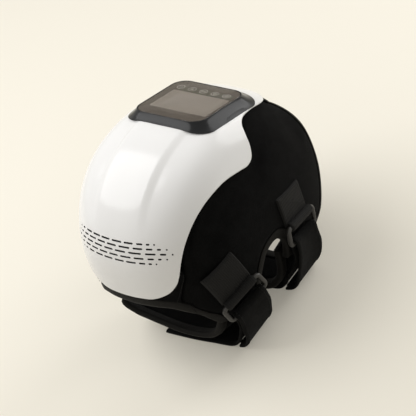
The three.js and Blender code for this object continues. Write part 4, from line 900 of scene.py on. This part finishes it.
def stroke(points, width, closed=False):
    """Flat printed line through [a, b] places on the glass."""
    path = np.asarray(points, float)
    run = tangents(path, closed)
    side = np.stack([-run[:, 1], run[:, 0]], -1)
    section = np.array([(-1, 0.01), (1, 0.01), (1, 0.05), (-1, 0.05)])
    rows = np.stack([on_display(*(path + side * s * width / 2).T, c) for s, c in section], 1)
    return [grid(rows, wrap_rows=True, wrap_columns=True)] if closed else capped(rows)


def arc(radius, start, end, count=24):
    """Places on a circle from one angle to another, in degrees."""
    turn = np.radians(np.linspace(start, end, count))
    return radius * np.stack([np.cos(turn), np.sin(turn)], -1)


def key_marks():
    """Five printed rings along the thigh edge of the glass, each with a simple sign."""
    wave = np.linspace(-1, 1, 16)
    signs = [
        [arc(1.5, 125, 415), [(0, 0.4), (0, 2.1)]],
        [np.stack([c + 0.28 * np.sin(wave * math.pi), wave * 1.6], -1) for c in (-1.1, 0, 1.1)],
        [arc(r, s, s + 100, 12) for r in (1.0, 1.9) for s in (-50, 130)],
        [arc(1.8, 0, 359, 24), arc(0.9, 20, 160, 10), arc(0.9, 200, 340, 10)],
        [arc(1.8, 0, 359, 24), [(0, 1.2), (0, 0), (0.9, -0.5)]],
    ]
    parts = []
    for k, sign in enumerate(signs):
        middle = np.array([(k - 2) * key_pitch, -key_row])
        parts += stroke(arc(key_ring, 0, 354, 60) + middle, ring_line, closed=True)
        for line in sign:
            parts += stroke(np.asarray(line) * sign_scale + middle, sign_line)
    piece("key_marks", parts, print_pale)


display_bezel()
display_glass()
key_marks()


# Padding


def wing_place(sign, edge_shares):
    """Wing surface: u from the thigh corner to the calf corner, w from the notch out to the edge."""

    def place(u, w, depth):
        u, w = np.broadcast_arrays(np.asarray(u, float), np.asarray(w, float))
        edge = along(edge_shares, mix(corner_ends[0], corner_ends[1], u))
        angle = mix(mix(notch_ends[0], corner_ends[0], w), mix(notch_ends[1], corner_ends[1], w), u)
        top = mix(wing_proud, wing_tuck, smooth(w, *tuck_shares) * smooth(angle, *tuck_angles))
        return skin(angle, sign * mix(along(notch_shares, angle), edge, w), top + depth)

    return place


def tape_share(place, axis):
    """Share of u (axis 0) or of w (axis 1) that the tape's width takes, as a function of the other one."""
    steps = np.linspace(0, 1, 13)[:, None]

    def share(other):
        other = np.atleast_1d(np.asarray(other, float))
        points = place(steps, other[None], 0.0) if axis == 0 else place(other[None], steps, 0.0)
        return tape_width / line_length(points)

    return share


def slant(place, u, w):
    """Sine of the angle between a wing's edge and its sheet's lines across, which a slanting edge crosses."""
    u, w = np.broadcast_arrays(np.asarray(u, float), np.asarray(w, float))
    step, least = 0.004, 0.55
    edge = unit(place(np.minimum(u + step, 1), w, 0.0) - place(np.maximum(u - step, 0), w, 0.0))
    across = unit(place(u, np.minimum(w + step, 1), 0.0) - place(u, np.maximum(w - step, 0), 0.0))
    return np.clip(np.linalg.norm(np.cross(edge, across), axis=-1), least, 1)


def crowded(count, crowding=0.55):
    """Places from 0 to 1 that crowd towards both ends."""
    t = np.linspace(0, 1, count)
    return t - crowding * np.sin(2 * math.pi * t) / (2 * math.pi)


def ripple(points, size, reach):
    """Small even unevenness of sewn foam: three crossed waves."""
    x, y, z = points[..., 0], points[..., 1], points[..., 2]
    waves = (np.sin(x / reach + 1.3 * np.sin(y / reach * 0.7)) + np.sin(y / reach * 1.1 + 1.7 * np.sin(z / reach * 0.6))
             + np.sin(z / reach * 0.9 + 1.1 * np.sin(x / reach * 1.2)))
    return size * waves[..., None] / 3


def pad(name, place, us, ws, edge_distance, replaces=(), wall=pad_wall):
    """Stuffed panel: it thins towards its sewn edges and closes there; place(u, w, depth) gives its layers."""
    distance = edge_distance(us[:, None], ws[None, :])
    full = smooth(distance, *full_rise)
    half = wall / 2 * (seam_share * smooth(distance, *seam_rise) * (1 - full) + full)
    half = half * np.sqrt(np.clip(distance / seam_round, 0, 1))
    faces = []
    for side in (-1, 1):
        layer = place(us[:, None], ws[None, :], wall / 2 + side * half)
        faces.append(layer + ripple(layer, *pad_ripple) * smooth(distance, *uneven_rise)[..., None] * side)
    pattern = sheet_pattern(faces[0])
    return piece(name, [grid(f, pattern) for f in faces], plush_black, replaces=replaces, sharp=70)


def nearest(*runs):
    """The least of several arrays, each of which may be one line of the sheet."""
    return np.minimum.reduce(np.broadcast_arrays(*runs))


def running_on(share, length):
    """Distance from an edge that isn't taped: only its very last line is sewn down."""
    return share * length + running_on_by * (share > 1e-9)


def tape_section():
    """Folded tape in section, as (distance in from the edge, height): a rounded U with its mouth inwards."""
    turn = np.linspace(-math.pi / 2, math.pi / 2, 13)
    tall, nose, fold, thick = pad_wall / 2 + 0.35, 2.3, 0.93, 0.9
    outer = [(tape_width, -tall), (tape_width * 0.66, -tall - 0.12), (nose + 1, -tall + 0.1)]
    outer += [(nose - nose * math.cos(t), tall * fold * math.sin(t)) for t in turn]
    outer += [(nose + 1, tall - 0.1), (tape_width * 0.66, tall + 0.12), (tape_width, tall)]
    inner = [(tape_width, tall - thick), (nose + 1, tall - 1.0)]
    inner += [(nose - (nose - thick) * math.cos(t), (tall * fold - thick) * math.sin(t)) for t in turn[::-1]]
    inner += [(nose + 1, -tall + 1.0), (tape_width, -tall + thick)]
    return np.array(outer + inner)


def tape(name, place, pairs, replaces):
    """Tape folded over an edge: pairs are its (outer, inner) places on the sheet; stitches run near its mouth."""
    outer, inner = np.swapaxes(np.asarray(pairs, float), 0, 1)
    run = run_along(place(outer[:, 0], outer[:, 1], pad_wall / 2))
    spacing, seam_at = 2.2, 6.4 / tape_width
    at = np.linspace(0, run[-1], max(8, int(run[-1] / spacing)))
    outer, inner = (np.stack([np.interp(at, run, column) for column in a.T], -1) for a in (outer, inner))
    section = tape_section()
    share = section[None, :, 0] / tape_width
    u = mix(outer[:, None, 0], inner[:, None, 0], share)
    w = mix(outer[:, None, 1], inner[:, None, 1], share)
    points = place(u, w, pad_wall / 2 + section[None, :, 1])
    points = points + ripple(points, *tape_ripple)
    piece(name, capped(points, swept_pattern(section, at)), tape_black, replaces=replaces, sharp=60)
    seam_u, seam_w = mix(outer, inner, seam_at).T
    seams = []
    for side in (-1, 1):
        low, high = (place(seam_u, seam_w, pad_wall / 2 + side * (pad_wall / 2 + rise)) for rise in (0.42, 1.4))
        low = low + ripple(low, *tape_ripple)
        seams.append(stitches(low, high - low))
    piece(name + "_stitches", seams, thread_black)


def wing_edge_pairs(place, taped_bottoms):
    """Stations of a wing's tapes as (outer, inner) places on its sheet, run by run.

    A corner's inner place is where the inside lines of its two edges meet.
    """
    in_u, in_w, stations = tape_share(place, 0), tape_share(place, 1), 60
    inset = lambda end, share: 1 - share if end == 1 else share
    inside_w = lambda u, w: inset(w, in_w(u) / slant(place, u, w))
    inside_u = lambda u, w: inset(u, in_u(w))
    low, high = [(a - corner_ends[0]) / (corner_ends[1] - corner_ends[0]) for a in seam_angles]

    def corner_inside(u, w):
        if not taped_bottoms:
            return u, inside_w(u, w)[0]
        near = inside_u(u, inside_w(u, w))
        return inside_u(u, inside_w(near, w))[0], inside_w(near, w)[0]

    def side(start, end, w):
        share = np.linspace(start, end, int(abs(end - start) * stations) + 2)
        u = mix(corner_inside(0, w)[0], corner_inside(1, w)[0], share)
        return np.stack([np.stack([u, np.full_like(u, w)], -1), np.stack([u, inside_w(u, w)], -1)], 1)

    def bottom(u, start, end):
        w = np.linspace(corner_inside(u, start)[1], corner_inside(u, end)[1], 14)
        return np.stack([np.stack([np.full_like(w, u), w], -1), np.stack([inside_u(u, w), w], -1)], 1)

    corner = lambda u, w: np.array([[(u, w), corner_inside(u, w)]])
    return dict(calf_edge=side(high, 1, 1), calf_bottom=[corner(1, 1), bottom(1, 1, 0), corner(1, 0)],
                notch=side(1, 0, 0), thigh_bottom=[corner(0, 0), bottom(0, 0, 1), corner(0, 1)],
                thigh_edge=side(0, low, 1))


def wing_pad(name, place, taped_bottoms, replaces):
    """Pad of a wing; a wing whose bottoms aren't taped runs on there into its flaps."""
    in_u, in_w = tape_share(place, 0), tape_share(place, 1)
    us, ws = crowded(230, 0.4), crowded(46)
    lengths_u, lengths_w = tape_width / in_u(ws)[None, :], tape_width / in_w(us)[:, None]

    def distance(u, w):
        sides = [w * lengths_w * slant(place, u, 0.0), (1 - w) * lengths_w * slant(place, u, 1.0)]
        if taped_bottoms:
            bottoms = [u * lengths_u, (1 - u) * lengths_u]
        else:
            bottoms = [running_on(u, lengths_u), running_on(1 - u, lengths_u)]
        return nearest(*sides, *bottoms) - seam_width

    return pad(name, place, us, ws, distance, replaces=replaces)


near_place, far_place = wing_place(1, near_edge_shares), wing_place(-1, far_edge_shares)
near_pairs, far_pairs = wing_edge_pairs(near_place, True), wing_edge_pairs(far_place, False)
padding = [wing_pad("near_wing_pad", near_place, True, ["near_wing"]),
           wing_pad("far_wing_pad", far_place, False, ["far_wing"])]
tape("near_wing_binding", near_place, np.concatenate([near_pairs["calf_edge"], *near_pairs["calf_bottom"],
     near_pairs["notch"], *near_pairs["thigh_bottom"], near_pairs["thigh_edge"]]), ["near_wing_tape"])
tape("far_calf_edge_binding", far_place, far_pairs["calf_edge"], ["far_calf_edge_tape"])
tape("far_notch_binding", far_place, far_pairs["notch"], ["far_notch_tape"])
tape("far_thigh_edge_binding", far_place, far_pairs["thigh_edge"], ["far_thigh_edge_tape"])


def flap_place(start, front, rear, curl):
    """Flap surface: s from the far wing round to its end, t from the front edge to the rear edge.

    start(t, depth) is the far wing's own bottom edge, which the flap leaves level with the wing.
    """
    middle_depth, blend_end = pad_wall / 2, 0.2
    curves = [np.concatenate([start(np.array([float(t)]), middle_depth), np.array(shares) * half_width])
              for t, shares in enumerate((front, rear))]

    def middle(s, t):
        a, b = (spline(c, s) for c in curves)
        steep = mix(1, curl, smooth(s, 0, blend_end) * (1 - smooth(s, 1 - 2 * blend_end, 1)))
        point = mix(a, b, t[..., None])
        point[..., 2] = mix(a[..., 2], b[..., 2], 1 - (1 - t) ** steep)
        bow = start(t, middle_depth) - mix(start(0 * t, middle_depth), start(0 * t + 1, middle_depth), t[..., None])
        return point + bow * (1 - smooth(s, 0, blend_end))[..., None]

    def place(s, t, depth):
        s, t, depth = np.broadcast_arrays(np.asarray(s, float), np.asarray(t, float), np.asarray(depth, float))
        step = 0.01
        run = middle(np.minimum(s + step, 1), t) - middle(np.maximum(s - step, 0), t)
        width = middle(s, np.minimum(t + step, 1)) - middle(s, np.maximum(t - step, 0))
        offset = unit(np.cross(run, width)) * (middle_depth - depth)[..., None]
        as_wing = start(t, depth) - start(t, middle_depth)
        return middle(s, t) + mix(as_wing, offset, smooth(s, 0, blend_end / 2)[..., None])

    return place


def flap(name, place, replaces_pad, replaces_tape):
    """Flap pad and the tape round its three free edges."""
    ends = np.linspace(0, 1, 41)
    length_s = line_length(place(ends, 0.5, pad_wall / 2))
    width_t = lambda s: line_length(place(s, ends[:, None], pad_wall / 2))
    ss, ts = crowded(150, 0.3), crowded(34)
    widths = width_t(ss)[:, None]

    def distance(s, t):
        return nearest(t * widths, (1 - t) * widths, (1 - s) * length_s, running_on(s, length_s)) - seam_width

    made = pad(name + "_pad", place, ss, ts, distance, replaces=[replaces_pad])
    inset_s = tape_width / length_s
    s = np.linspace(0, 1 - inset_s, 60)
    inset_t = tape_width / width_t(s)
    front = np.stack([np.stack([s, 0 * s], -1), np.stack([s, inset_t], -1)], 1)
    rear = np.stack([np.stack([s, 0 * s + 1], -1), np.stack([s, 1 - inset_t], -1)], 1)[::-1]
    last = tape_width / width_t(np.array([1.0]))[0]
    t = np.linspace(last, 1 - last, 12)
    end = np.stack([np.stack([0 * t + 1, t], -1), np.stack([0 * t + 1 - inset_s, t], -1)], 1)
    corners = [np.array([[(1, c), (1 - inset_s, mix(c, 0.5, 2 * last))]]) for c in (0, 1)]
    tape(name + "_binding", place, np.concatenate([front, corners[0], end, corners[1], rear]), [replaces_tape])
    return made


def lining():
    """Padded lining over the knee, deep in the middle and rising to the seams."""
    steps = np.linspace(0, 1, 40)

    def place(u, v, depth):
        u, v = np.broadcast_arrays(np.asarray(u, float), np.asarray(v, float))
        angle = mix(*lining_ends, u)
        edge = along(near_edge_shares, angle)
        sweep = mix(-1, 1, v) * (edge + lining_tuck)
        front, back = 1 - smooth(angle, *well_front), smooth(angle, *well_back)
        flank = 1 - smooth(np.abs(sweep) / edge, *well_side)
        return skin(angle, sweep, mix(lining_edge, lining_depth, front * back * flank) + depth)

    us, vs = crowded(120, 0.3), crowded(80, 0.3)
    lengths_u = line_length(place(steps[:, None], vs, 0))
    lengths_v = line_length(place(us, steps[:, None], 0))[:, None]

    def distance(u, v):
        return nearest(u * lengths_u, (1 - u) * lengths_u, v * lengths_v, (1 - v) * lengths_v)

    return pad("lining_pad", place, us, vs, distance, replaces=["knee_lining"])


def lip_band(name, lip, replaces):
    """Soft band of folded tape on the shell's front or back lip between the wings."""
    columns, sides, softness = 90, 40, 0.6
    low, high = lip["low"], wing_tuck + pad_wall
    turn = np.linspace(0, 2 * math.pi, sides, endpoint=False)
    square = lambda c: np.sign(c) * np.abs(c) ** softness
    v = 0.5 + 0.5 * square(np.cos(turn))
    depth = mix(low, high, 0.5) + (high - low) / 2 * square(np.sin(turn))
    sweep = np.linspace(-lip["reach"], lip["reach"], columns)[:, None]
    start, end = along(lip["start"], np.abs(sweep)), along(lip["end"], np.abs(sweep))
    points = skin(mix(start, end, v[None, :]), sweep, depth[None, :])
    pattern = np.stack(np.meshgrid(np.linspace(0, 30, sides + 1), np.linspace(0, 90, columns)), -1)
    piece(name, capped(points, pattern), tape_black, replaces=replaces, sharp=60)


def gusset(name, sign):
    """Triangular panel that fills the corner between the shell's rim, the lip band and the wing's sewn seam."""

    def place(u, w, depth):
        u, w = np.broadcast_arrays(np.asarray(u, float), np.asarray(w, float))
        angle = mix(gusset_inner[0][0], gusset_inner[-1][0], u)
        sweep = sign * mix(along(gusset_inner, angle), along(gusset_outer, angle), w)
        return skin(angle, sweep, gusset_depth + depth)

    def distance(u, w):
        return gusset_half * nearest(u * 2, (1 - u) * 2, w * 2, (1 - w) * 2)

    made = pad(name, place, crowded(50), crowded(30), distance, wall=gusset_wall)
    u = np.linspace(0.1, 0.94, 60)
    low, high = (place(u, 0.93, rise) for rise in (-0.05, -1.0))
    piece(name + "_stitches", [stitches(low, high - low, pitch=2.2, length=1.7, radius=0.16)], thread_black)
    return made


calf_place = flap_place(lambda t, depth: far_place(1.0 + 0 * t, 1 - t, depth), calf_flap_front, calf_flap_rear,
                        calf_flap_curl)
thigh_place = flap_place(lambda t, depth: far_place(0 * t, t, depth), thigh_flap_front, thigh_flap_rear,
                         thigh_flap_curl)
padding += [flap("calf_flap", calf_place, "calf_flap", "calf_flap_tape"),
            flap("thigh_flap", thigh_place, "thigh_flap", "thigh_flap_tape"), lining(),
            gusset("near_gusset", 1), gusset("far_gusset", -1)]
lip_band("front_lip_band", front_lip, ["front_lip_tape"])
lip_band("back_lip_band", back_lip, ["back_lip_tape"])


# Tabs, rings and straps


def tab_site(size):
    """Where a tab lies on the near wing, and the ring's upper and lower rails, hang and outward directions."""
    down, rear = np.array(size["down"]), np.array(size["rear"])

    def place(a, b, depth):
        a, b = np.broadcast_arrays(np.asarray(a, float), np.asarray(b, float))
        y = size["y"] + a * size["width"] * rear[0] + b * size["length"] * down[0]
        z = size["z"] + a * size["width"] * rear[1] + b * size["length"] * down[1]
        return skin_beside(y, z, depth)

    front, back = place(-0.5, 0.5, 0.0), place(0.5, 0.5, 0.0)
    rail = unit(back - front)
    fall = unit(place(0, 0.5, 0.0) - place(0, 0.3, 0.0))
    out = unit(np.cross(rail, fall))
    out *= np.sign(out[0])
    standoff = rail_radius + rail_clearance + sleeve_wall + fit_gap - wing_proud + fit_gap
    upper = place(0, 0.5, 0.0) + out * standoff
    hang = unit(np.array([0, 0, -1.0]) + rail * rail[2])
    lower = upper + hang * (ring_window[1] + 2 * rail_radius)
    outward = unit(np.cross(rail, hang))
    outward *= np.sign(outward[0])
    return dict(place=place, rail=rail, upper=upper, lower=lower, hang=hang, outward=outward,
                width=np.linalg.norm(back - front), length=size["length"])


def webbing_tab(name, site):
    """Webbing sewn flat on the wing and folded round the ring's rail: one strip with rounded edges."""
    place, rail, upper = site["place"], site["rail"], site["upper"]
    strip, lengthwise = crowded(34, 0.8), crowded(40, 0.8) - 0.5
    patch_power, fold_power, margin_a, margin_b, bar_gap = 24, 14, 2.4, 2.6, 5.2
    round_off = lambda share, power: np.sqrt(np.clip(1 - np.abs(2 * share) ** power, 0, 1))
    thick = webbing_wall * round_off(strip - 0.5, patch_power) * round_off(lengthwise, patch_power)[:, None]
    lift = wing_proud - fit_gap
    under, over = [place(strip[None, :] - 0.5, lengthwise[:, None], lift - rise) for rise in (0 * thick, thick)]
    pattern = sheet_pattern(over)
    piece(name + "_patch", [grid(under, pattern), grid(over, pattern)], webbing_black, replaces=[name],
          sharp=60)
    bore, half, sides = rail_radius + rail_clearance, site["width"] / 2, 40
    turn = np.linspace(0, 2 * math.pi, sides, endpoint=False)[None, :, None]
    start = unit(-site["hang"])
    side = np.cross(rail, start)
    across = mix(-half, half, strip)
    ends = round_off(across / half / 2, fold_power)
    radial = np.cos(turn) * start + np.sin(turn) * side
    outer, inner = (upper + across[:, None, None] * rail + r[:, None, None] * radial
                    for r in (bore + sleeve_wall * ends, bore + 0 * ends))
    girth = np.linspace(0, 2 * math.pi * (bore + sleeve_wall), sides + 1)
    pattern = np.stack(np.broadcast_arrays(across[:, None], girth[None, :]), -1)
    piece(name + "_fold", [grid(layer, pattern, wrap_columns=True) for layer in (outer, inner)], webbing_black,
          sharp=60)
    # Seams as (a, b, a, b): a box, a bar above its fold and a cross inside
    edge_a, edge_b = 0.5 - margin_a / site["width"], 0.5 - margin_b / site["length"]
    low_b, s, lines = edge_b - bar_gap / site["length"], np.linspace(0, 1, 30), []
    for a0, b0, a1, b1 in ((-edge_a, -edge_b, edge_a, -edge_b), (-edge_a, -edge_b, -edge_a, edge_b),
                           (edge_a, -edge_b, edge_a, edge_b), (-edge_a, low_b, edge_a, low_b),
                           (-edge_a, edge_b, edge_a, edge_b), (-edge_a, -edge_b, edge_a, low_b),
                           (edge_a, -edge_b, -edge_a, low_b)):
        low, high = (place(mix(a0, a1, s), mix(b0, b1, s), lift - webbing_wall - rise) for rise in (0.02, 1.0))
        lines.append(stitches(low, high - low, pitch=2.6, length=1.9, radius=0.26))
    piece(name + "_stitches", lines, thread_black)


def ring(name, site, body):
    """Round bar bent to a rounded rectangle."""
    outline = rounded_rectangle(ring_window[0] + 2 * rail_radius, ring_window[1] + 2 * rail_radius, ring_corner, 10)
    middle = (site["upper"] + site["lower"]) / 2
    path = middle + outline[:, :1] * site["rail"] + outline[:, 1:] * site["hang"]
    run = tangents(path, closed=True)
    across = unit(np.cross(run, site["outward"]))
    turn = np.linspace(0, 2 * math.pi, 20, endpoint=False)
    section = rail_radius * np.stack([np.cos(turn), np.sin(turn)], -1)
    parts = closed_sweep(path, across, np.broadcast_to(site["outward"], across.shape), section)
    piece(name + "_bar", parts, ring_plastic, body=body, replaces=[name], sharp=60)


def strap_section(width, wall):
    """Strap in section: a flat body between two slightly thicker bound edges, as [across, up] places."""
    half = width / 2
    inwards = [(4.6, 0.40), (4.1, 0.50), (2.2, 0.53), (0.8, 0.42), (0.15, 0.2)]
    top = np.array([(-half + a, b) for a, b in inwards[::-1]] + [(half - a, b) for a, b in inwards])
    return np.concatenate([top, top[::-1] * (1, -1)]) * (1, wall)


def band(name, path, directions, widths, finish, wall, body, replaces, seams=True):
    """Flat band along a path, with its width directions; seam lines run inside its bound edges."""
    up = unit(np.cross(tangents(path), directions))
    section = strap_section(strap_width, wall)
    from_edge = np.abs(section[:, 0]) - strap_width / 2
    across = np.sign(section[:, 0]) * (widths[:, None] / 2 + from_edge)
    points = path[:, None] + directions[:, None] * across[..., None] + up[:, None] * section[None, :, 1:]
    made = piece(name, capped(points, swept_pattern(section, run_along(path))), finish, body=body,
                 replaces=replaces, sharp=50, ride=False)
    lines = []
    for side, face in ((-1, -1), (-1, 1), (1, -1), (1, 1)) if seams else ():
        line = path + directions * side * (widths[:, None] / 2 - strap_seam) + up * face * wall * 0.51
        lines.append(stitches(line, up * face, pitch=2.9, length=2.0, radius=0.22))
    return made, lines, up


def strap(end, site):
    """The run under the leg with its rise to the ring, and the tail that turns over the lower rail and hangs."""
    radius = rail_radius + rail_clearance + strap_wall / 2

    def turn_point(turn):
        turn = np.radians(np.atleast_1d(turn))[:, None]
        return site["lower"] + site["outward"] * radius * np.cos(turn) - site["hang"] * radius * np.sin(turn)

    level, rows = np.array([0, 1.0, 0]), np.arange(strap_rows)
    lead = np.concatenate([np.array(strap_runs[end]) * half_width, turn_point(turn_span)])
    path = smooth_path(lead, strap_rows)
    foot = np.argmax(path[:, 2] > riser_foot * half_width - 1)
    share = smooth(rows, foot, foot + (strap_rows - foot) * riser_change)
    directions = unit(mix(level, site["rail"], share[:, None]))
    first, first_seams, _ = band(end + "_strap_lead", path, directions, mix(strap_width, strap_width_at_ring, share),
                                 strap_black, strap_wall, "massager",
                                 [f"{end}_strap_run", f"{end}_strap_riser"])
    first_thread = piece(end + "_strap_lead_stitches", first_seams, thread_black, ride=False)
    turn = turn_point(np.linspace(turn_span, 0, 24))
    fall = np.array(strap_tails[end]) * half_width
    path = evenly(np.concatenate([turn, smooth_path(np.concatenate([turn[-3:], fall]), 110)[8:]]), strap_rows)
    start = np.argmax(run_along(path)[1:] > math.pi * radius)
    share = 1 - smooth(rows, *(start + (strap_rows - start) * change for change in tail_change))
    directions = unit(mix(level, site["rail"], share[:, None]))
    second, second_seams, up = band(end + "_strap_end", path, directions, mix(strap_width, strap_width_at_ring, share),
                                    strap_black, strap_wall, "tail", [f"{end}_strap_tail"])
    second_thread = piece(end + "_strap_end_stitches", second_seams, thread_black, ride=False)
    inner = -1.0 if up[-1][0] > 0 else 1.0
    last = path[-hook_rows:] + up[-hook_rows:] * inner * ((strap_wall + hook_wall) / 2 + hook_sunk)
    hook, _, _ = band(end + "_hook_pad", last, directions[-hook_rows:],
                      np.full(hook_rows, strap_width - 2 * hook_margin), strap_black, hook_wall, "tail",
                      [f"{end}_hook_patch"], seams=False)
    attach(hook, end + "_tail")
    for part in (first, first_thread):
        to_row(lead[-4])
        to_row(turn_point(turn_span)[0])
        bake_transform(part)
    rail = to_row(site["lower"])
    reach, below = site["outward"] * radius / 1000, site["hang"] * tail_bend / 1000
    for part in (second, second_thread):
        rail - reach
        rail + reach + below
        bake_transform(part)


for end_name, size_of in tabs.items():
    site_of = tab_site(size_of)
    webbing_tab(end_name + "_tab", site_of)
    ring(end_name + "_ring", site_of, end_name + "_ring")
    strap(end_name, site_of)


# Inner parts keep their solids and get their finishes


def drawn_metal(name, color, roughness):
    """Pressed or turned metal: faint streaks and tarnish in its colour and gloss."""
    f = Finish(name, Metallic=0.9, Roughness=roughness)
    streak = f.noise(f.place(), 900, 2)
    f.link("Base Color", f.blend(f.noise(f.place(), 160, 3), [c * 0.72 for c in color], color))
    f.link("Roughness", streak * 0.18 + (roughness - 0.08))
    f.link("Normal", f.bump(streak, 0.2, 0.00005))
    return f.material


def circuit_laminate():
    """Green circuit board: paler copper runs under the varnish."""
    f = Finish("circuit_laminate", Roughness=0.38)
    runs = f.cells(f.place(), 260, 0.35).between(0.25, 0.3)
    f.link("Base Color", f.blend(runs, (0.02, 0.11, 0.045), (0.012, 0.055, 0.026)))
    f.link("Normal", f.bump(runs, 0.3, 0.00004))
    return f.material


def soft_film(name, color, roughness):
    """Rubber or plastic film: cloudy colour with a fine creased face."""
    f = Finish(name, Roughness=roughness)
    crease_lines = f.noise(f.place(), 420, 4, 0.65)
    f.link("Base Color", f.blend(crease_lines, [c * 0.75 for c in color], [c * 1.2 for c in color]))
    f.link("Normal", f.bump(crease_lines, 0.4, 0.0002))
    return f.material


inner_finishes = [
    (cradle_black, ["inner_cradle", "vent_screen"]),
    (shell_white, ["port_cover"]),
    (lcd_panel, ["lcd_module"]),
    (circuit_laminate(), ["touch_key_board", "main_board"]),
    (satin_plastic("cell_wrap", (0.015, 0.05, 0.14), 0.35), ["battery_pack"]),
    (satin_plastic("pump_grey", (0.09, 0.09, 0.09)), ["air_pump", "air_valve"]),
    (drawn_metal("motor_can", (0.42, 0.41, 0.39), 0.4), ["near_vibration_motor", "far_vibration_motor"]),
    (soft_film("hose_rubber", (0.3, 0.3, 0.28), 0.5), ["air_hose"]),
    (soft_film("bladder_film", (0.06, 0.06, 0.062), 0.45), ["air_bladder"]),
    (soft_film("heating_mesh", (0.03, 0.024, 0.02), 0.6), ["heating_film"]),
    (drawn_metal("screw_steel", (0.5, 0.5, 0.49), 0.32), ["charging_socket", "shell_screw_1", "shell_screw_2",
                                                          "shell_screw_3", "shell_screw_4"]),
]
for finish_of, names in inner_finishes:
    for node in names:
        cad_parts[node].data.materials.clear()
        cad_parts[node].data.materials.append(finish_of)


# Camera at the photograph's angle: its axes, and the photograph's size, scale in pixels per millimetre and middle
camera_axes = np.array([(0.788, 0.538, -0.298), (-0.190, 0.674, 0.714), (0.586, -0.506, 0.634)])
look_at, camera_distance = np.array([0.0, 103.0, 110.0]), 2200.0
photo_size, photo_scale, photo_middle = 416, 1.15, (188.9, 202.7)
right_axis = unit(camera_axes[0])
back_axis = unit(camera_axes[2] - right_axis * (camera_axes[2] @ right_axis))
up_axis = np.cross(back_axis, right_axis)
camera_data = bpy.data.cameras.new("camera")
camera = bpy.data.objects.new("camera", camera_data)
bpy.context.scene.collection.objects.link(camera)
camera_data.sensor_width = 36
camera_data.lens = camera_data.sensor_width * photo_scale * camera_distance / photo_size
camera_data.shift_x = (photo_size / 2 - photo_middle[0]) / photo_size
camera_data.shift_y = (photo_middle[1] - photo_size / 2) / photo_size
camera_data.clip_end = 100
where = to_row(look_at + back_axis * camera_distance)
camera.matrix_world = Matrix([[right_axis[i], up_axis[i], back_axis[i], where[i]] for i in range(3)] + [[0, 0, 0, 1]])
bpy.context.scene.camera = camera


# Stage and light


def stage_cream():
    """Pale cream floor. Seen straight, mirrored or through clear pieces it glows a little; it keeps the shadow."""
    f = Finish("stage_cream", Roughness=0.9, Emission_Color=(0.95, 0.9, 0.78, 1))
    f.link("Base Color", f.blend(f.noise(f.place(), 3, 2), (0.68, 0.65, 0.575), (0.69, 0.66, 0.585)))
    f.link("Emission Strength", f.seen_ray() * 0.2)
    return f.material


def floor():
    """Wide floor, a hair below the straps."""
    reach, below = 40, 0.0004
    mesh = bpy.data.meshes.new("floor")
    corners = [(-reach, -reach, 0), (reach, -reach, 0), (reach, reach, 0), (-reach, reach, 0)]
    mesh.from_pydata(corners, [], [(0, 1, 2, 3)])
    made = bpy.data.objects.new("floor", mesh)
    made.location.z = -below
    mesh.materials.append(stage_cream())
    bpy.context.scene.collection.objects.link(made)


def lamp(name, direction, size, power, distance=1.1):
    """Soft round lamp at a distance in metres, in a direction given by the camera's right, up and back."""
    data = bpy.data.lights.new(name, "AREA")
    data.shape, data.size, data.energy = "DISK", size, power
    made = bpy.data.objects.new(name, data)
    bpy.context.scene.collection.objects.link(made)
    aim = unit(np.array(direction, float) @ np.array([right_axis, up_axis, back_axis]))
    made.location = Vector(to_row(look_at) + aim * distance)
    made.rotation_mode = "QUATERNION"
    made.rotation_quaternion = Vector(aim).to_track_quat("Z", "Y")


def sky():
    """Even warm light from all round; it's brighter where it is seen straight, mirrored or through clear pieces."""
    light, seen = 0.43, 0.85
    world = bpy.data.worlds.new("studio")
    bpy.context.scene.world = world
    world.use_nodes = True
    nodes = Nodes(world.node_tree)
    background = world.node_tree.nodes["Background"]
    nodes.put(background.inputs["Color"], (1.0, 0.97, 0.9, 1))
    nodes.put(background.inputs["Strength"], nodes.seen_ray() * (seen - light) + light)


floor()
lamp("key_softbox", (-0.88, 0.58, 0.32), 1.05, 9.3)
lamp("top_softbox", (0.62, 0.85, 0.0), 0.8, 5.0)
lamp("right_softbox", (1.0, 0.1, 0.35), 0.7, 0.8)
sky()

bpy.context.scene.view_settings.view_transform = "Standard"
